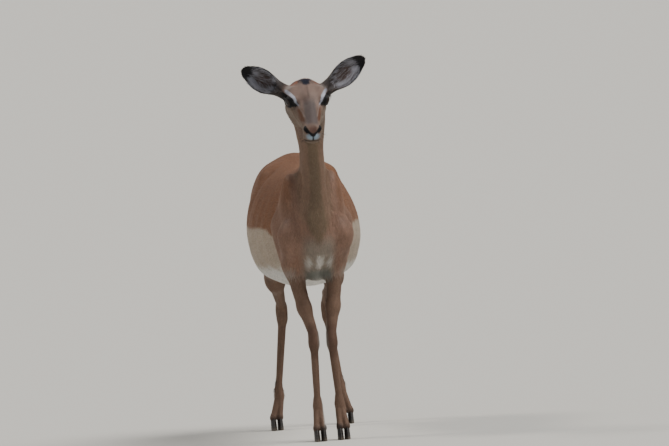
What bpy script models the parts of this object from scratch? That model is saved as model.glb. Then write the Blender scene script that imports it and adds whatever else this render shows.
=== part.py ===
"""A female impala, standing and alert, life-size: modelled whole, then parted into its named pieces.

Metres. The animal faces -Y, its left side is +X and Z is up. It is laid out with the fore hooves
near Y = 0 and moved at the end, so that the origin lies under the middle of its bounding box.

The flesh is one smooth field: a list of rounded forms (sections along the trunk, neck and head,
tapered limbs, muscles and ears) blended into each other, negative inside. Its zero surface is
meshed once, thinned, and then cut apart at the places where a person would name its parts.
"""
import math

import bmesh
import bpy
import numpy as np
import openvdb
from mathutils import Matrix, Vector

GAP = 0.0003                 # clearance between two pieces that touch
BODY_TRIANGLES = 5150        # of the whole flesh, before it is parted
FAR = 0.08                   # field value away from every form

# Meshing steps: fine where the ears and face are, coarser over the trunk.
FINE_STEP, FOOT_STEP, LEG_STEP, TRUNK_STEP = 0.0023, 0.0030, 0.0042, 0.0052
THROAT_HEIGHT, FETLOCK_HEIGHT, BREAST_Y = 0.93, 0.14, -0.112
HALF_SPAN, NOSE_Y, RUMP_Y, EAR_TIP_HEIGHT = 0.225, -0.44, 0.86, 1.24     # limits of the meshed space

# Standing height and limbs. Heights are above the ground, depths are along Y.
HEAD_CENTRE = (-0.0085, -0.250, 1.064)   # middle of the line between the eyes
FACE_PITCH, FACE_YAW, FACE_ROLL = math.radians(42), math.radians(1.0), math.radians(2.0)
EYE_PLACE = (0.0505, 0.004, 0.006)       # left eye's middle: side, forward, up in the head's frame
EYE_RADIUS = 0.0170
EYE_LOOK = (0.88, 0.46, 0.09)            # the way that the left eye looks, in the head's frame
EAR_ROOT = (0.056, -0.054, -0.011)       # left ear's root in the head's frame
EAR_LENGTH, EAR_THICKNESS = 0.168, 0.0040
EAR_TIPS = ((-0.193, -0.130, 1.172), (0.184, -0.170, 1.182))   # right, left

# side sign, elbow, knee, fetlock, hoof middle (x, y)
FORELEGS = {
    "right": ((-0.071, 0.050, 0.545), (-0.028, -0.004, 0.310), (-0.030, 0.010, 0.112), (-0.031, -0.022)),
    "left": ((0.060, 0.050, 0.545), (0.0285, -0.004, 0.308), (0.038, 0.012, 0.114), (0.042, -0.020)),
}
# stifle, hock, fetlock, hoof middle (x, y)
HINDLEGS = {
    "right": ((-0.108, 0.470, 0.560), (-0.070, 0.695, 0.374), (-0.100, 0.672, 0.110), (-0.116, 0.642)),
    "left": ((0.108, 0.490, 0.552), (0.078, 0.735, 0.368), (0.101, 0.716, 0.112), (0.113, 0.688)),
}

# Trunk sections along Y: half width, top and bottom heights, and how square the section is.
TRUNK_Y = (-0.13, -0.06, 0.02, 0.12, 0.24, 0.38, 0.50, 0.60, 0.68, 0.76)
TRUNK_HALF_WIDTH = (0.060, 0.074, 0.090, 0.119, 0.156, 0.180, 0.171, 0.143, 0.111, 0.080)
TRUNK_TOP = (0.772, 0.815, 0.842, 0.845, 0.845, 0.858, 0.874, 0.878, 0.850, 0.790)
TRUNK_BOTTOM = (0.590, 0.545, 0.518, 0.502, 0.479, 0.463, 0.480, 0.532, 0.590, 0.640)
TRUNK_SQUARENESS = (2.0, 1.9, 1.8, 1.9, 2.05, 2.12, 2.12, 2.05, 2.0, 2.0)
TRUNK_CAPS = ((-0.02, 0.105), (0.605, 0.120))    # where each end starts to round off, and its length
WIDEST_AT = 0.42                                  # of the section's height
TRUNK_TAPER = 0.15                                # how much less square it is above that
TRUNK_ASIDE = -0.003                              # the barrel stands a little to the animal's right
BELLY_START = 0.2                                 # where both are in full, along Y

# Neck sections by height: front and back edges along Y, half width and sideways offset.
NECK_Z = (0.60, 0.68, 0.76, 0.84, 0.92, 1.00, 1.07, 1.12)
NECK_FRONT = (-0.098, -0.124, -0.134, -0.145, -0.163, -0.188, -0.215, -0.235)
NECK_BACK = (0.130, 0.100, 0.065, 0.022, -0.020, -0.064, -0.104, -0.135)
NECK_HALF_WIDTH = (0.066, 0.054, 0.046, 0.0410, 0.0385, 0.050, 0.053, 0.040)
NECK_OFFSET = (0.0, 0.003, 0.006, 0.006, 0.005, 0.002, -0.003, -0.007)

# Head sections along the face, from the back of the skull to the nose, in the head's frame.
HEAD_FORWARD = (-0.110, -0.075, -0.035, 0.0, 0.035, 0.070, 0.105, 0.135, 0.155)
HEAD_HALF_WIDTH = (0.040, 0.052, 0.0565, 0.0555, 0.045, 0.0345, 0.0275, 0.0265, 0.0250)
HEAD_TOP = (0.000, 0.016, 0.028, 0.034, 0.0315, 0.0270, 0.0225, 0.0195, 0.0155)
HEAD_BOTTOM = (-0.056, -0.080, -0.089, -0.083, -0.067, -0.054, -0.048, -0.046, -0.041)
HEAD_CAPS = ((-0.072, 0.040), (0.128, 0.026))

TAIL_LINE = ((0.0, 0.690, 0.812), (0.0, 0.746, 0.782), (0.0, 0.770, 0.710), (0.0, 0.773, 0.610),
             (0.0, 0.768, 0.515))
TAIL_RADII = (0.028, 0.020, 0.018, 0.021, 0.008)

# Where the pieces part. Planes hold X and two (y, z) points; discs are ((y, z), radius) seen from the side.
NECK_CUT = ((-0.165, 0.655), (0.020, 0.870))
HEAD_CUT = ((-0.205, 0.975), (-0.118, 1.095))
EAR_CUT = 0.018                                   # along the ear from its root
TAIL_CUT = (0.0, 0.736, 0.770)
HAUNCH_DISC, SHOULDER_DISC = ((0.625, 0.610), 0.150), ((0.010, 0.575), 0.105)
HAUNCH_WIDTH = {"right": (-0.20, -0.030), "left": (0.030, 0.20)}
SHOULDER_WIDTH = {"right": (-0.16, -0.014), "left": (0.002, 0.16)}

# Claws: one of the two halves of a hoof.
CLAW_LENGTH, CLAW_WIDTH, CLAW_CLEFT = 0.056, 0.0185, 0.0030
CLAW_TOP = 0.70                                  # length of a claw's top, as a share of its sole
CLAW_LEAN = 0.0112                               # how far its top stands behind its sole
CLAW_POINTS = 14                                 # round its outline
CORONET_FRONT, CORONET_HEEL = 0.041, 0.026       # heights of the top of the horn
CORONET_BACK = 0.004                             # how far the toes stand behind a hoof's middle

COAT = (0.46, 0.235, 0.115)
COLOURS = {"trunk": COAT, "neck": (0.36, 0.225, 0.14), "head": (0.34, 0.225, 0.155),
           "tail": (0.80, 0.77, 0.72)}
LEG_COLOUR, EAR_COLOUR = (0.40, 0.235, 0.135), (0.30, 0.25, 0.22)
EYE_COLOUR, HORN_COLOUR = (0.018, 0.010, 0.006), (0.030, 0.027, 0.026)


# --- measures: signed distances, nearly, on arrays that broadcast ---

def smooth_curve(knots, values):
    """A function that reads a smooth curve through a few values."""
    knots, values = np.array(knots, float), np.array(values, float)
    slopes = np.gradient(values, knots)
    dense = np.linspace(knots[0], knots[-1], 240)
    i = np.clip(np.searchsorted(knots, dense) - 1, 0, len(knots) - 2)
    step = knots[i + 1] - knots[i]
    t = (dense - knots[i]) / step
    found = (values[i] * (1 + 2 * t) * (1 - t) ** 2 + values[i + 1] * t * t * (3 - 2 * t)
             + step * (slopes[i] * t * (1 - t) ** 2 - slopes[i + 1] * t * t * (1 - t)))
    return lambda q: np.interp(q, dense, found)


def section(across, upward, along, half_width, half_height, cap, power):
    """Distance to a rounded section: across and upward from its middle, along from its end cap's start."""
    a, b, c = np.abs(across) / half_width, np.abs(upward) / half_height, along / cap
    total = a ** power + b ** power + c ** power + 1e-9
    slope = np.sqrt((a ** (power - 1) / half_width) ** 2 + (b ** (power - 1) / half_height) ** 2
                    + (c ** (power - 1) / cap) ** 2)
    reach = total ** (1 / power)
    return (reach - 1) / np.maximum(slope * total ** (1 / power - 1), 4.0)


def past(q, caps):
    """How far q lies past the start of the nearer end cap, as a share of that cap's length."""
    (first, first_length), (last, last_length) = caps
    return np.maximum(np.maximum((first - q) / first_length, (q - last) / last_length), 0.0)


def blend_min(a, b, k):
    h = np.maximum(k - np.abs(a - b), 0.0) / k
    return np.minimum(a, b) - h * h * k * 0.25


def blend_max(a, b, k):
    return -blend_min(-a, -b, k)


class Form:
    """One rounded form: its box, its measure and how softly it joins or carves what came before."""

    def __init__(self, low, high, measure, blend, carve=False):
        margin = blend + 0.012
        self.low = np.array(low, float) - margin
        self.high = np.array(high, float) + margin
        self.measure, self.blend, self.carve = measure, blend, carve

    def apply(self, found, values):
        if self.carve:
            return blend_max(found, -values, self.blend)
        return blend_min(found, values, self.blend)


def limb(start, end, start_radius, end_radius, blend, flat=1.0, across=(1, 0, 0), carve=False):
    """A tapered limb with round ends. flat is its thickness along across, as a share of the rest."""
    start, end, across = np.array(start, float), np.array(end, float), np.array(across, float)
    run = end - start
    across = across - run * (across @ run) / (run @ run)
    across = across / np.linalg.norm(across)
    reach = max(start_radius, end_radius)

    def measure(x, y, z):
        dx, dy, dz = x - start[0], y - start[1], z - start[2]
        t = np.clip((dx * run[0] + dy * run[1] + dz * run[2]) / (run @ run), 0, 1)
        dx, dy, dz = dx - t * run[0], dy - t * run[1], dz - t * run[2]
        side = dx * across[0] + dy * across[1] + dz * across[2]
        stretch = 1 / (flat * flat) - 1
        radius = start_radius + (end_radius - start_radius) * t
        wide = dx * dx + dy * dy + dz * dz
        reached = np.sqrt(wide + stretch * side * side)
        share = np.sqrt(wide + 1e-12) / (reached + 1e-9)
        return (reached - radius) * np.clip(share, flat, 1)

    ends = np.array((start, end))
    return Form(ends.min(0) - reach, ends.max(0) + reach, measure, blend, carve)


def limbs(points, radii, blend, flat=1.0, across=(1, 0, 0)):
    """A chain of limbs through points."""
    pairs = zip(points, points[1:], radii, radii[1:])
    return [limb(a, b, ra, rb, blend, flat, across) for a, b, ra, rb in pairs]


def blob(middle, radii, blend, turn=None, carve=False):
    """An ellipsoid. turn is a 3x3 matrix whose columns are its own axes."""
    middle, radii = np.array(middle, float), np.array(radii, float)
    turn = np.eye(3) if turn is None else np.array(turn, float)

    def measure(x, y, z):
        dx, dy, dz = x - middle[0], y - middle[1], z - middle[2]
        own = [dx * turn[0, i] + dy * turn[1, i] + dz * turn[2, i] for i in range(3)]
        near = sum((p / r) ** 2 for p, r in zip(own, radii)) + 1e-9
        slope = np.sqrt(sum((p / (r * r)) ** 2 for p, r in zip(own, radii)) + 1e-9)
        near = np.sqrt(near)
        return near * (near - 1) / slope

    reach = np.abs(turn) @ radii
    return Form(middle - reach, middle + reach, measure, blend, carve)


def tilt(degrees):
    """Axes turned about X, so that a form's top leans forward, towards -Y."""
    return np.array(Matrix.Rotation(math.radians(degrees), 3, "X"))


class Frame:
    """A place with its own axes: side, forward, up."""

    def __init__(self, place, side, forward, up):
        self.place = np.array(place, float)
        self.axes = np.array((side, forward, up), float)

    def to_world(self, side, forward, up):
        return self.place + np.array((side, forward, up)) @ self.axes

    def local(self, x, y, z):
        dx, dy, dz = x - self.place[0], y - self.place[1], z - self.place[2]
        return [dx * a[0] + dy * a[1] + dz * a[2] for a in self.axes]

    def form(self, low, high, measure, blend, carve=False):
        """A form measured in this frame, whose box low to high is this frame's too."""
        corners = [self.to_world(s, f, u) for s in (low[0], high[0]) for f in (low[1], high[1])
                   for u in (low[2], high[2])]
        return Form(np.min(corners, 0), np.max(corners, 0),
                    lambda x, y, z: measure(*self.local(x, y, z)), blend, carve)

    def blob(self, middle, radii, blend, carve=False):
        return blob(self.to_world(*middle), radii, blend, self.axes.T, carve)

    def limb(self, start, end, start_radius, end_radius, blend, flat=1.0, across=(1, 0, 0), carve=False):
        across = np.array(across, float) @ self.axes
        return limb(self.to_world(*start), self.to_world(*end), start_radius, end_radius, blend, flat, across,
                    carve)


def head_frame():
    turn = (Matrix.Rotation(FACE_YAW, 3, "Z") @ Matrix.Rotation(FACE_PITCH, 3, "X")
            @ Matrix.Rotation(FACE_ROLL, 3, "Y"))
    side, forward, up = (turn @ Vector(axis) for axis in ((1, 0, 0), (0, -1, 0), (0, 0, 1)))
    return Frame(HEAD_CENTRE, side, forward, up)


# --- the animal's forms ---

def trunk_forms():
    half_width, power = smooth_curve(TRUNK_Y, TRUNK_HALF_WIDTH), smooth_curve(TRUNK_Y, TRUNK_SQUARENESS)
    top, bottom = smooth_curve(TRUNK_Y, TRUNK_TOP), smooth_curve(TRUNK_Y, TRUNK_BOTTOM)

    def barrel(x, y, z):
        high, low = top(y), bottom(y)
        middle = low + WIDEST_AT * (high - low)
        upward = z - middle
        half_height = np.where(upward > 0, high - middle, middle - low)
        behind = np.clip(y / BELLY_START, 0, 1)
        roundness = power(y) - np.where(upward > 0, TRUNK_TAPER, 0.0) * behind
        aside = x - TRUNK_ASIDE * behind
        return section(aside, upward, past(y, TRUNK_CAPS) * 0.11, half_width(y), half_height, 0.11, roundness)

    forms = [Form((-0.19, -0.125, 0.45), (0.19, 0.74, 0.872), barrel, 0.02)]
    forms += [
        limb((0, -0.085, 0.635), (0, 0.045, 0.540), 0.052, 0.042, 0.045, 0.85),      # brisket
        limb((0, -0.075, 0.700), (0, -0.075, 0.600), 0.050, 0.046, 0.04),            # breast
        limb((0, 0.03, 0.818), (0, 0.14, 0.826), 0.024, 0.018, 0.05, 0.7),           # withers
        limb((0, 0.665, 0.740), (0, 0.610, 0.560), 0.052, 0.050, 0.040),             # between the thighs
    ]
    for side in (-1, 1):
        forms += [
            # shoulder blade, point of the shoulder and the muscle behind the upper arm
            blob((side * 0.066, 0.022, 0.715), (0.034, 0.072, 0.130), 0.045, tilt(24)),
            blob((side * 0.078, -0.052, 0.640), (0.034, 0.046, 0.052), 0.035),
            limb((side * 0.082, 0.075, 0.670), (side * 0.076, 0.072, 0.585), 0.046, 0.036, 0.035),
            # hip bone, croup, buttock and the fold of the flank
            blob((side * 0.082, 0.475, 0.812), (0.032, 0.050, 0.022), 0.040),
            blob((side * 0.078, 0.585, 0.730), (0.056, 0.115, 0.105), 0.045, tilt(12)),
            limb((side * 0.052, 0.684, 0.765), (side * 0.078, 0.688, 0.610), 0.040, 0.046, 0.035),
            limb((side * 0.112, 0.390, 0.548), (side * 0.096, 0.480, 0.555), 0.030, 0.036, 0.040),
        ]
    return forms


def neck_forms():
    front, back = smooth_curve(NECK_Z, NECK_FRONT), smooth_curve(NECK_Z, NECK_BACK)
    half_width, offset = smooth_curve(NECK_Z, NECK_HALF_WIDTH), smooth_curve(NECK_Z, NECK_OFFSET)
    caps = ((0.64, 0.05), (1.075, 0.035))

    def column(x, y, z):
        near, far = front(z), back(z)
        middle, depth = (near + far) / 2, (far - near) / 2
        return section(x - offset(z), y - middle, past(z, caps) * 0.04, half_width(z), depth, 0.04, 2.1) * 0.9

    return [Form((-0.075, -0.24, 0.59), (0.075, 0.13, 1.11), column, 0.035)]


def head_forms(head):
    half_width = smooth_curve(HEAD_FORWARD, HEAD_HALF_WIDTH)
    top, bottom = smooth_curve(HEAD_FORWARD, HEAD_TOP), smooth_curve(HEAD_FORWARD, HEAD_BOTTOM)

    def skull(side, forward, up):
        slant = forward + 0.23 * np.minimum(up, 0.02)          # the front of the muzzle stands upright
        high, low = top(forward), bottom(forward)
        middle, depth = (high + low) / 2, (high - low) / 2
        ends = past(slant, HEAD_CAPS) * 0.03
        return section(side, up - middle, ends, half_width(forward), depth, 0.03, 2.25)

    forms = [head.form((-0.058, -0.115, -0.09), (0.058, 0.162, 0.05), skull, 0.03)]
    forms += [
        # forehead, bridge of the nose and chin
        head.limb((0, -0.045, 0.010), (0, 0.005, 0.020), 0.020, 0.014, 0.03),
        head.limb((0, 0.060, 0.012), (0, 0.118, 0.004), 0.0125, 0.0125, 0.012),
        head.limb((0, 0.130, -0.034), (0, 0.060, -0.041), 0.0130, 0.016, 0.015),
    ]
    for side in (-1, 1):
        eye = np.array((side * EYE_PLACE[0], EYE_PLACE[1], EYE_PLACE[2]))
        opening = eye + np.array((side * EYE_LOOK[0], EYE_LOOK[1], EYE_LOOK[2])) * (EYE_RADIUS + 0.0035)
        cheek = np.array((side * 0.048, -0.020, -0.022))
        forms += [
            # jaw, brow and cheek bone
            head.limb((side * 0.032, -0.030, -0.060), (side * 0.027, 0.020, -0.058), 0.025, 0.020, 0.025),
            head.limb((side * 0.042, -0.026, 0.020), (side * 0.043, 0.014, 0.021), 0.0120, 0.0100, 0.018),
            head.limb((side * 0.048, -0.032, 0.004), cheek, 0.013, 0.012, 0.018),
            head.limb(cheek, (side * 0.034, 0.034, -0.014), 0.011, 0.0095, 0.018),
            # lids and the opening between them
            head.blob(eye, (EYE_RADIUS + 0.0022,) * 3, 0.008),
            head.blob(opening, (0.0125, 0.0155, 0.0118), 0.0025, carve=True),
            # side of the nose, upper lip and nostril
            head.blob((side * 0.0150, 0.131, 0.003), (0.0125, 0.0165, 0.0130), 0.010),
            head.blob((side * 0.0150, 0.128, -0.025), (0.0120, 0.020, 0.0120), 0.012),
            head.limb((side * 0.0100, 0.1510, 0.000), (side * 0.0205, 0.1400, 0.009), 0.0032, 0.0042, 0.004,
                      carve=True),
        ]
    return forms


def ear_frame(head, side):
    """An ear's frame: across, outward along its length, and the way that its bowl faces."""
    root = head.to_world(side * EAR_ROOT[0], EAR_ROOT[1], EAR_ROOT[2])
    tip = np.array(EAR_TIPS[0] if side < 0 else EAR_TIPS[1])
    outward = (tip - root) / np.linalg.norm(tip - root)
    facing = np.array((side * 0.10, -1.0, -0.10))
    facing = facing - outward * (facing @ outward)
    facing = facing / np.linalg.norm(facing)
    return Frame(root, np.cross(outward, facing) * side, outward, facing)


# Along an ear from root to tip: radius of its bowl, half the angle that it spans, and its back's place.
EAR_ALONG = (-0.02, 0.10, 0.25, 0.45, 0.65, 0.82, 0.94, 1.00)
EAR_CURL = (0.0175, 0.0185, 0.0255, 0.0350, 0.0365, 0.0315, 0.0235, 0.0160)
EAR_SPREAD = (178, 165, 118, 86, 71, 53, 32, 0)
EAR_SPINE = (0.000, -0.004, -0.010, -0.014, -0.013, -0.008, -0.002, 0.002)


def ear_forms(ear, thickness):
    along = [share * EAR_LENGTH for share in EAR_ALONG]
    curl, spread = smooth_curve(along, EAR_CURL), smooth_curve(along, np.radians(EAR_SPREAD))
    spine = smooth_curve(along, EAR_SPINE)

    def bowl(across, outward, facing):
        radius = curl(outward)
        height = spine(outward) + radius - facing
        reach = np.sqrt(across * across + height * height)
        angle = np.arctan2(np.abs(across), height)
        rim = (angle - spread(outward)) * np.maximum(reach, 0.004)
        wall = np.abs(reach - radius) - thickness / 2
        ends = np.maximum(outward - EAR_LENGTH, -0.012 - outward)
        return blend_max(blend_max(wall, rim, 0.003), ends, 0.003)

    return [
        ear.form((-0.042, -0.012, -0.022), (0.042, EAR_LENGTH, 0.045), bowl, 0.005),
        ear.limb((0, -0.020, 0.004), (0, 0.018, 0.004), 0.025, 0.019, 0.016),                    # root
        ear.limb((0.002, 0.018, 0.024), (0.002, 0.060, 0.018), 0.0085, 0.0125, 0.008, carve=True),
    ]


def foreleg_forms(side, elbow, knee, fetlock, hoof):
    elbow, knee, fetlock = (np.array(joint) for joint in (elbow, knee, fetlock))
    shoulder = np.array((side * 0.080, -0.050, 0.640))
    coronet = np.array((hoof[0], hoof[1] + CORONET_BACK, CORONET_FRONT))
    back = np.array((0, 1, 0))
    return [
        # upper arm and forearm
        limb(shoulder, elbow, 0.040, 0.036, 0.03, 0.85),
        limb(elbow + (0, -0.012, 0), elbow * 0.45 + knee * 0.55, 0.036, 0.0235, 0.025, 0.80),
        limb(elbow + (0, 0.016, 0.006), elbow * 0.6 + knee * 0.4 + back * 0.008, 0.020, 0.016, 0.02, 0.85),
        limb(elbow * 0.45 + knee * 0.55, knee + (0, 0.002, 0.028), 0.0235, 0.0180, 0.02, 0.88),
        # knee
        blob(knee + (0, -0.003, 0), (0.0180, 0.0205, 0.027), 0.014),
        blob(knee + (0, 0.015, 0.006), (0.0095, 0.0095, 0.014), 0.010),
        # cannon bone, the tendons behind it and the fetlock
        limb(knee + (0, 0.002, -0.018), fetlock + (0, 0, 0.02), 0.0145, 0.0118, 0.014, 0.84),
        limb(knee + (0, 0.012, -0.020), fetlock + (0, 0.010, 0.02), 0.0095, 0.0080, 0.012, 0.85),
        blob(fetlock + (0, 0.001, 0.002), (0.0142, 0.0175, 0.0195), 0.012),
        blob(fetlock + (0, 0.013, -0.004), (0.0120, 0.0085, 0.0120), 0.008),
    ] + toe_forms(fetlock, coronet)


def hindleg_forms(side, stifle, hock, fetlock, hoof):
    stifle, hock, fetlock = (np.array(joint) for joint in (stifle, hock, fetlock))
    hip = np.array((side * 0.080, 0.600, 0.720))
    buttock = np.array((side * 0.074, 0.694, 0.660))
    coronet = np.array((hoof[0], hoof[1] + CORONET_BACK, CORONET_FRONT))
    calf = stifle * 0.58 + hock * 0.42
    heel = hock + (0, 0.036, 0.022)
    return [
        # thigh, hamstrings and what lies between them
        limb(hip, stifle, 0.076, 0.046, 0.035, 0.72),
        limb(hip + (0, -0.075, -0.01), stifle + (0, -0.010, 0.02), 0.050, 0.038, 0.035, 0.70),
        limb(buttock, calf + (0, 0.024, 0.012), 0.058, 0.036, 0.035, 0.74),
        blob((hip + stifle + buttock + calf) / 4, (0.046, 0.085, 0.100), 0.035),
        # gaskin
        limb(stifle, calf, 0.044, 0.034, 0.03, 0.76),
        limb(calf, hock + (0, -0.008, 0.020), 0.033, 0.0185, 0.025, 0.76),
        # Achilles tendon, the web of skin before it and the heel bone
        limb(calf + (0, 0.040, 0.006), heel + (0, 0, 0.030), 0.020, 0.0085, 0.018, 0.75),
        limb(calf + (0, 0.020, 0.0), hock + (0, 0.014, 0.030), 0.020, 0.0130, 0.020, 0.50),
        limb(heel + (0, 0, 0.030), heel, 0.0085, 0.0125, 0.010, 0.85),
        limb(heel, hock + (0, 0.012, -0.030), 0.0125, 0.0120, 0.012, 0.85),
        # hock, cannon bone, tendons and fetlock
        blob(hock + (0, 0.002, -0.004), (0.0192, 0.0240, 0.036), 0.016, tilt(-20)),
        limb(hock + (0, 0.002, -0.030), fetlock + (0, -0.001, 0.02), 0.0155, 0.0118, 0.014, 0.84),
        limb(hock + (0, 0.014, -0.034), fetlock + (0, 0.010, 0.02), 0.0100, 0.0082, 0.012, 0.85),
        blob(fetlock + (0, 0.001, 0.002), (0.0142, 0.0175, 0.0195), 0.012),
        blob(fetlock + (0, 0.013, -0.004), (0.0120, 0.0085, 0.0120), 0.008),
    ] + toe_forms(fetlock, coronet)


def toe_forms(fetlock, coronet):
    """The two toes below a fetlock, down into the hoof."""
    forms = []
    for side in (-1, 1):
        apart = np.array((side * (CLAW_WIDTH + CLAW_CLEFT) / 2, 0, 0))
        forms += [
            limb(fetlock + apart * 0.45 + (0, 0, -0.006), coronet + apart, 0.0128, 0.0112, 0.008, 0.80),
            limb(coronet + apart, coronet + apart + (0, 0.0165, -0.008), 0.0105, 0.0105, 0.008, 0.86),
        ]
    return forms


def tail_forms():
    """The tail head flows out of the rump; the rest hangs free."""
    root = limbs(TAIL_LINE[:2], TAIL_RADII[:2], 0.028, 0.95)
    return root + limbs(TAIL_LINE[1:], TAIL_RADII[1:], 0.006, 0.95)


def flesh(ear_thickness):
    """Every form of the animal, in the order in which they are blended."""
    head = head_frame()
    forms = trunk_forms() + neck_forms()
    for name, side in (("right", -1), ("left", 1)):
        forms += foreleg_forms(side, *FORELEGS[name]) + hindleg_forms(side, *HINDLEGS[name])
    forms += head_forms(head)
    for side in (-1, 1):
        forms += ear_forms(ear_frame(head, side), ear_thickness)
    return forms + tail_forms()


# --- meshing ---

def steps(spans):
    """Grid lines from (start, end, step) spans laid end to end."""
    lines = [np.arange(start, end - step / 2, step) for start, end, step in spans]
    return np.concatenate(lines + [[spans[-1][1]]])


def on_grid(forms, x, y, z):
    found = np.full((len(x), len(y), len(z)), FAR, np.float32)
    for form in forms:
        i, j, k = (slice(*np.searchsorted(lines, (form.low[axis], form.high[axis])))
                   for axis, lines in enumerate((x, y, z)))
        values = form.measure(x[i, None, None], y[None, j, None], z[None, None, k])
        found[i, j, k] = form.apply(found[i, j, k], values)
    return found


def at_points(forms, points):
    found = np.full(len(points), FAR)
    for form in forms:
        near = np.flatnonzero(((points > form.low) & (points < form.high)).all(1))
        x, y, z = points[near].T
        found[near] = form.apply(found[near], form.measure(x, y, z))
    return found


def settle(forms, points, rounds=3, reach=0.0004):
    """Moves points onto the zero surface, each along the field's slope."""
    for _ in range(rounds):
        here = at_points(forms, points)
        slope = np.stack([at_points(forms, points + step) - at_points(forms, points - step)
                          for step in np.eye(3) * reach], 1) / (2 * reach)
        steep = np.maximum((slope ** 2).sum(1), 0.25)
        points = points - np.clip(here / steep, -0.0015, 0.0015)[:, None] * slope
    return points


def mesh_of(forms, x, y, z):
    grid = openvdb.FloatGrid(FAR)
    grid.copyFromArray(on_grid(forms, x, y, z))
    points, quads = grid.convertToQuads(0.0)
    placed = [np.interp(points[:, axis], np.arange(len(lines)), lines)
              for axis, lines in enumerate((x, y, z))]
    points = settle(forms, np.stack(placed, 1))
    mesh = bpy.data.meshes.new("flesh")
    mesh.from_pydata(points.tolist(), [], quads[:, ::-1].tolist())
    mesh.validate()
    return mesh


def new_object(name, mesh):
    made = bpy.data.objects.new(name, mesh)
    bpy.context.scene.collection.objects.link(made)
    return made


def evaluated(made):
    """A new mesh with the object's modifiers applied. The object goes."""
    mesh = bpy.data.meshes.new_from_object(made.evaluated_get(bpy.context.evaluated_depsgraph_get()))
    bpy.data.objects.remove(made)
    return mesh


def whole_flesh():
    """The largest body of the zero surface, thinned."""
    x = steps([(-HALF_SPAN, HALF_SPAN, FINE_STEP)])
    y = steps([(NOSE_Y, BREAST_Y, FINE_STEP), (BREAST_Y, RUMP_Y, TRUNK_STEP)])
    z = steps([(0.0, FETLOCK_HEIGHT, FOOT_STEP), (FETLOCK_HEIGHT, THROAT_HEIGHT, LEG_STEP),
               (THROAT_HEIGHT, EAR_TIP_HEIGHT, FINE_STEP)])
    made = new_object("flesh", mesh_of(flesh(EAR_THICKNESS), x, y, z))
    plain = made.vertex_groups.new(name="plain")
    for vert in made.data.vertices:
        plain.add([vert.index], plainness(vert.co), "REPLACE")
    thin = made.modifiers.new("thin", "DECIMATE")
    thin.ratio = BODY_TRIANGLES / (2 * len(made.data.polygons))
    thin.vertex_group, thin.vertex_group_factor = plain.name, 1.0
    return cleaned(evaluated(made))


def plainness(place):
    """How readily a place gives up its faces: most on the trunk, least on the face and ears."""
    if place.z > THROAT_HEIGHT:
        return 0.22
    on_trunk = place.z > 0.52 and -0.10 < place.y < 0.735
    return 1.0 if on_trunk else 0.45


def cleaned(mesh):
    """The largest body of a mesh as triangles, without crumbs, facing outwards."""
    bm = bmesh.new()
    bm.from_mesh(mesh)
    bmesh.ops.remove_doubles(bm, verts=bm.verts, dist=0.00002)
    bmesh.ops.dissolve_degenerate(bm, edges=bm.edges, dist=0.00002)
    crumbs = bodies_of(bm)[:-1]
    bmesh.ops.delete(bm, geom=[vert for body in crumbs for vert in body], context="VERTS")
    bmesh.ops.triangulate(bm, faces=bm.faces)
    bmesh.ops.recalc_face_normals(bm, faces=bm.faces)
    bm.to_mesh(mesh)
    bm.free()
    return mesh


def bodies_of(bm):
    """The connected bodies as sets of vertices, the smallest first."""
    left, bodies = set(bm.verts), []
    while left:
        body, edge = set(), [next(iter(left))]
        while edge:
            vert = edge.pop()
            if vert not in body:
                body.add(vert)
                edge += [e.other_vert(vert) for e in vert.link_edges]
        bodies.append(body)
        left -= body
    return sorted(bodies, key=len)


# --- parting ---

def cutter(name, place, axes, low, high, grow=0.0):
    """A hidden box from low to high along its own axes, larger all round by grow."""
    mesh = bpy.data.meshes.new(name)
    bm = bmesh.new()
    bmesh.ops.create_cube(bm, size=1)
    low, high = np.array(low) - grow, np.array(high) + grow
    for vert in bm.verts:
        own = (low + high) / 2 + np.array(vert.co) * (high - low)
        vert.co = np.array(place) + own @ np.array(axes)
    bmesh.ops.recalc_face_normals(bm, faces=bm.faces)
    bm.to_mesh(mesh)
    bm.free()
    return hidden(new_object(name, mesh))


def round_cutter(name, disc, width, grow=0.0):
    """A hidden plate of constant width along X: a disc in the YZ plane that runs on down as a leg."""
    ((y, z), radius), (inner, outer) = disc, width
    radius, low_end = radius + grow, -0.02
    arc = [(y + radius * math.cos(a), z + radius * math.sin(a)) for a in np.radians(np.arange(-20, 201, 10))]
    outline = arc + [(y - radius * 0.94, low_end), (y + radius * 0.94 + 0.05, low_end)]
    bm = bmesh.new()
    near = [bm.verts.new((inner - grow, *point)) for point in outline]
    far = [bm.verts.new((outer + grow, *point)) for point in outline]
    bm.faces.new(near)
    bm.faces.new(far)
    for i in range(len(outline)):
        j = (i + 1) % len(outline)
        bm.faces.new((near[i], near[j], far[j], far[i]))
    bmesh.ops.recalc_face_normals(bm, faces=bm.faces)
    mesh = bpy.data.meshes.new(name)
    bm.to_mesh(mesh)
    bm.free()
    return hidden(new_object(name, mesh))


def hidden(made):
    made.hide_render = True
    made.display_type = "WIRE"
    return made


def boolean(mesh, tool, operation):
    made = new_object("cut", mesh.copy())
    cut = made.modifiers.new("cut", "BOOLEAN")
    cut.operation, cut.solver, cut.object = operation, "EXACT", tool
    return evaluated(made)


def split(mesh, make_cutter):
    """The mesh inside a cutter and the rest of it, apart by the gap. make_cutter is told how much to grow."""
    inside, outside = make_cutter(0.0), make_cutter(GAP)
    piece, rest = boolean(mesh, inside, "INTERSECT"), boolean(mesh, outside, "DIFFERENCE")
    for tool in (inside, outside):
        bpy.data.objects.remove(tool)
    return cleaned(piece), cleaned(rest)


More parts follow.
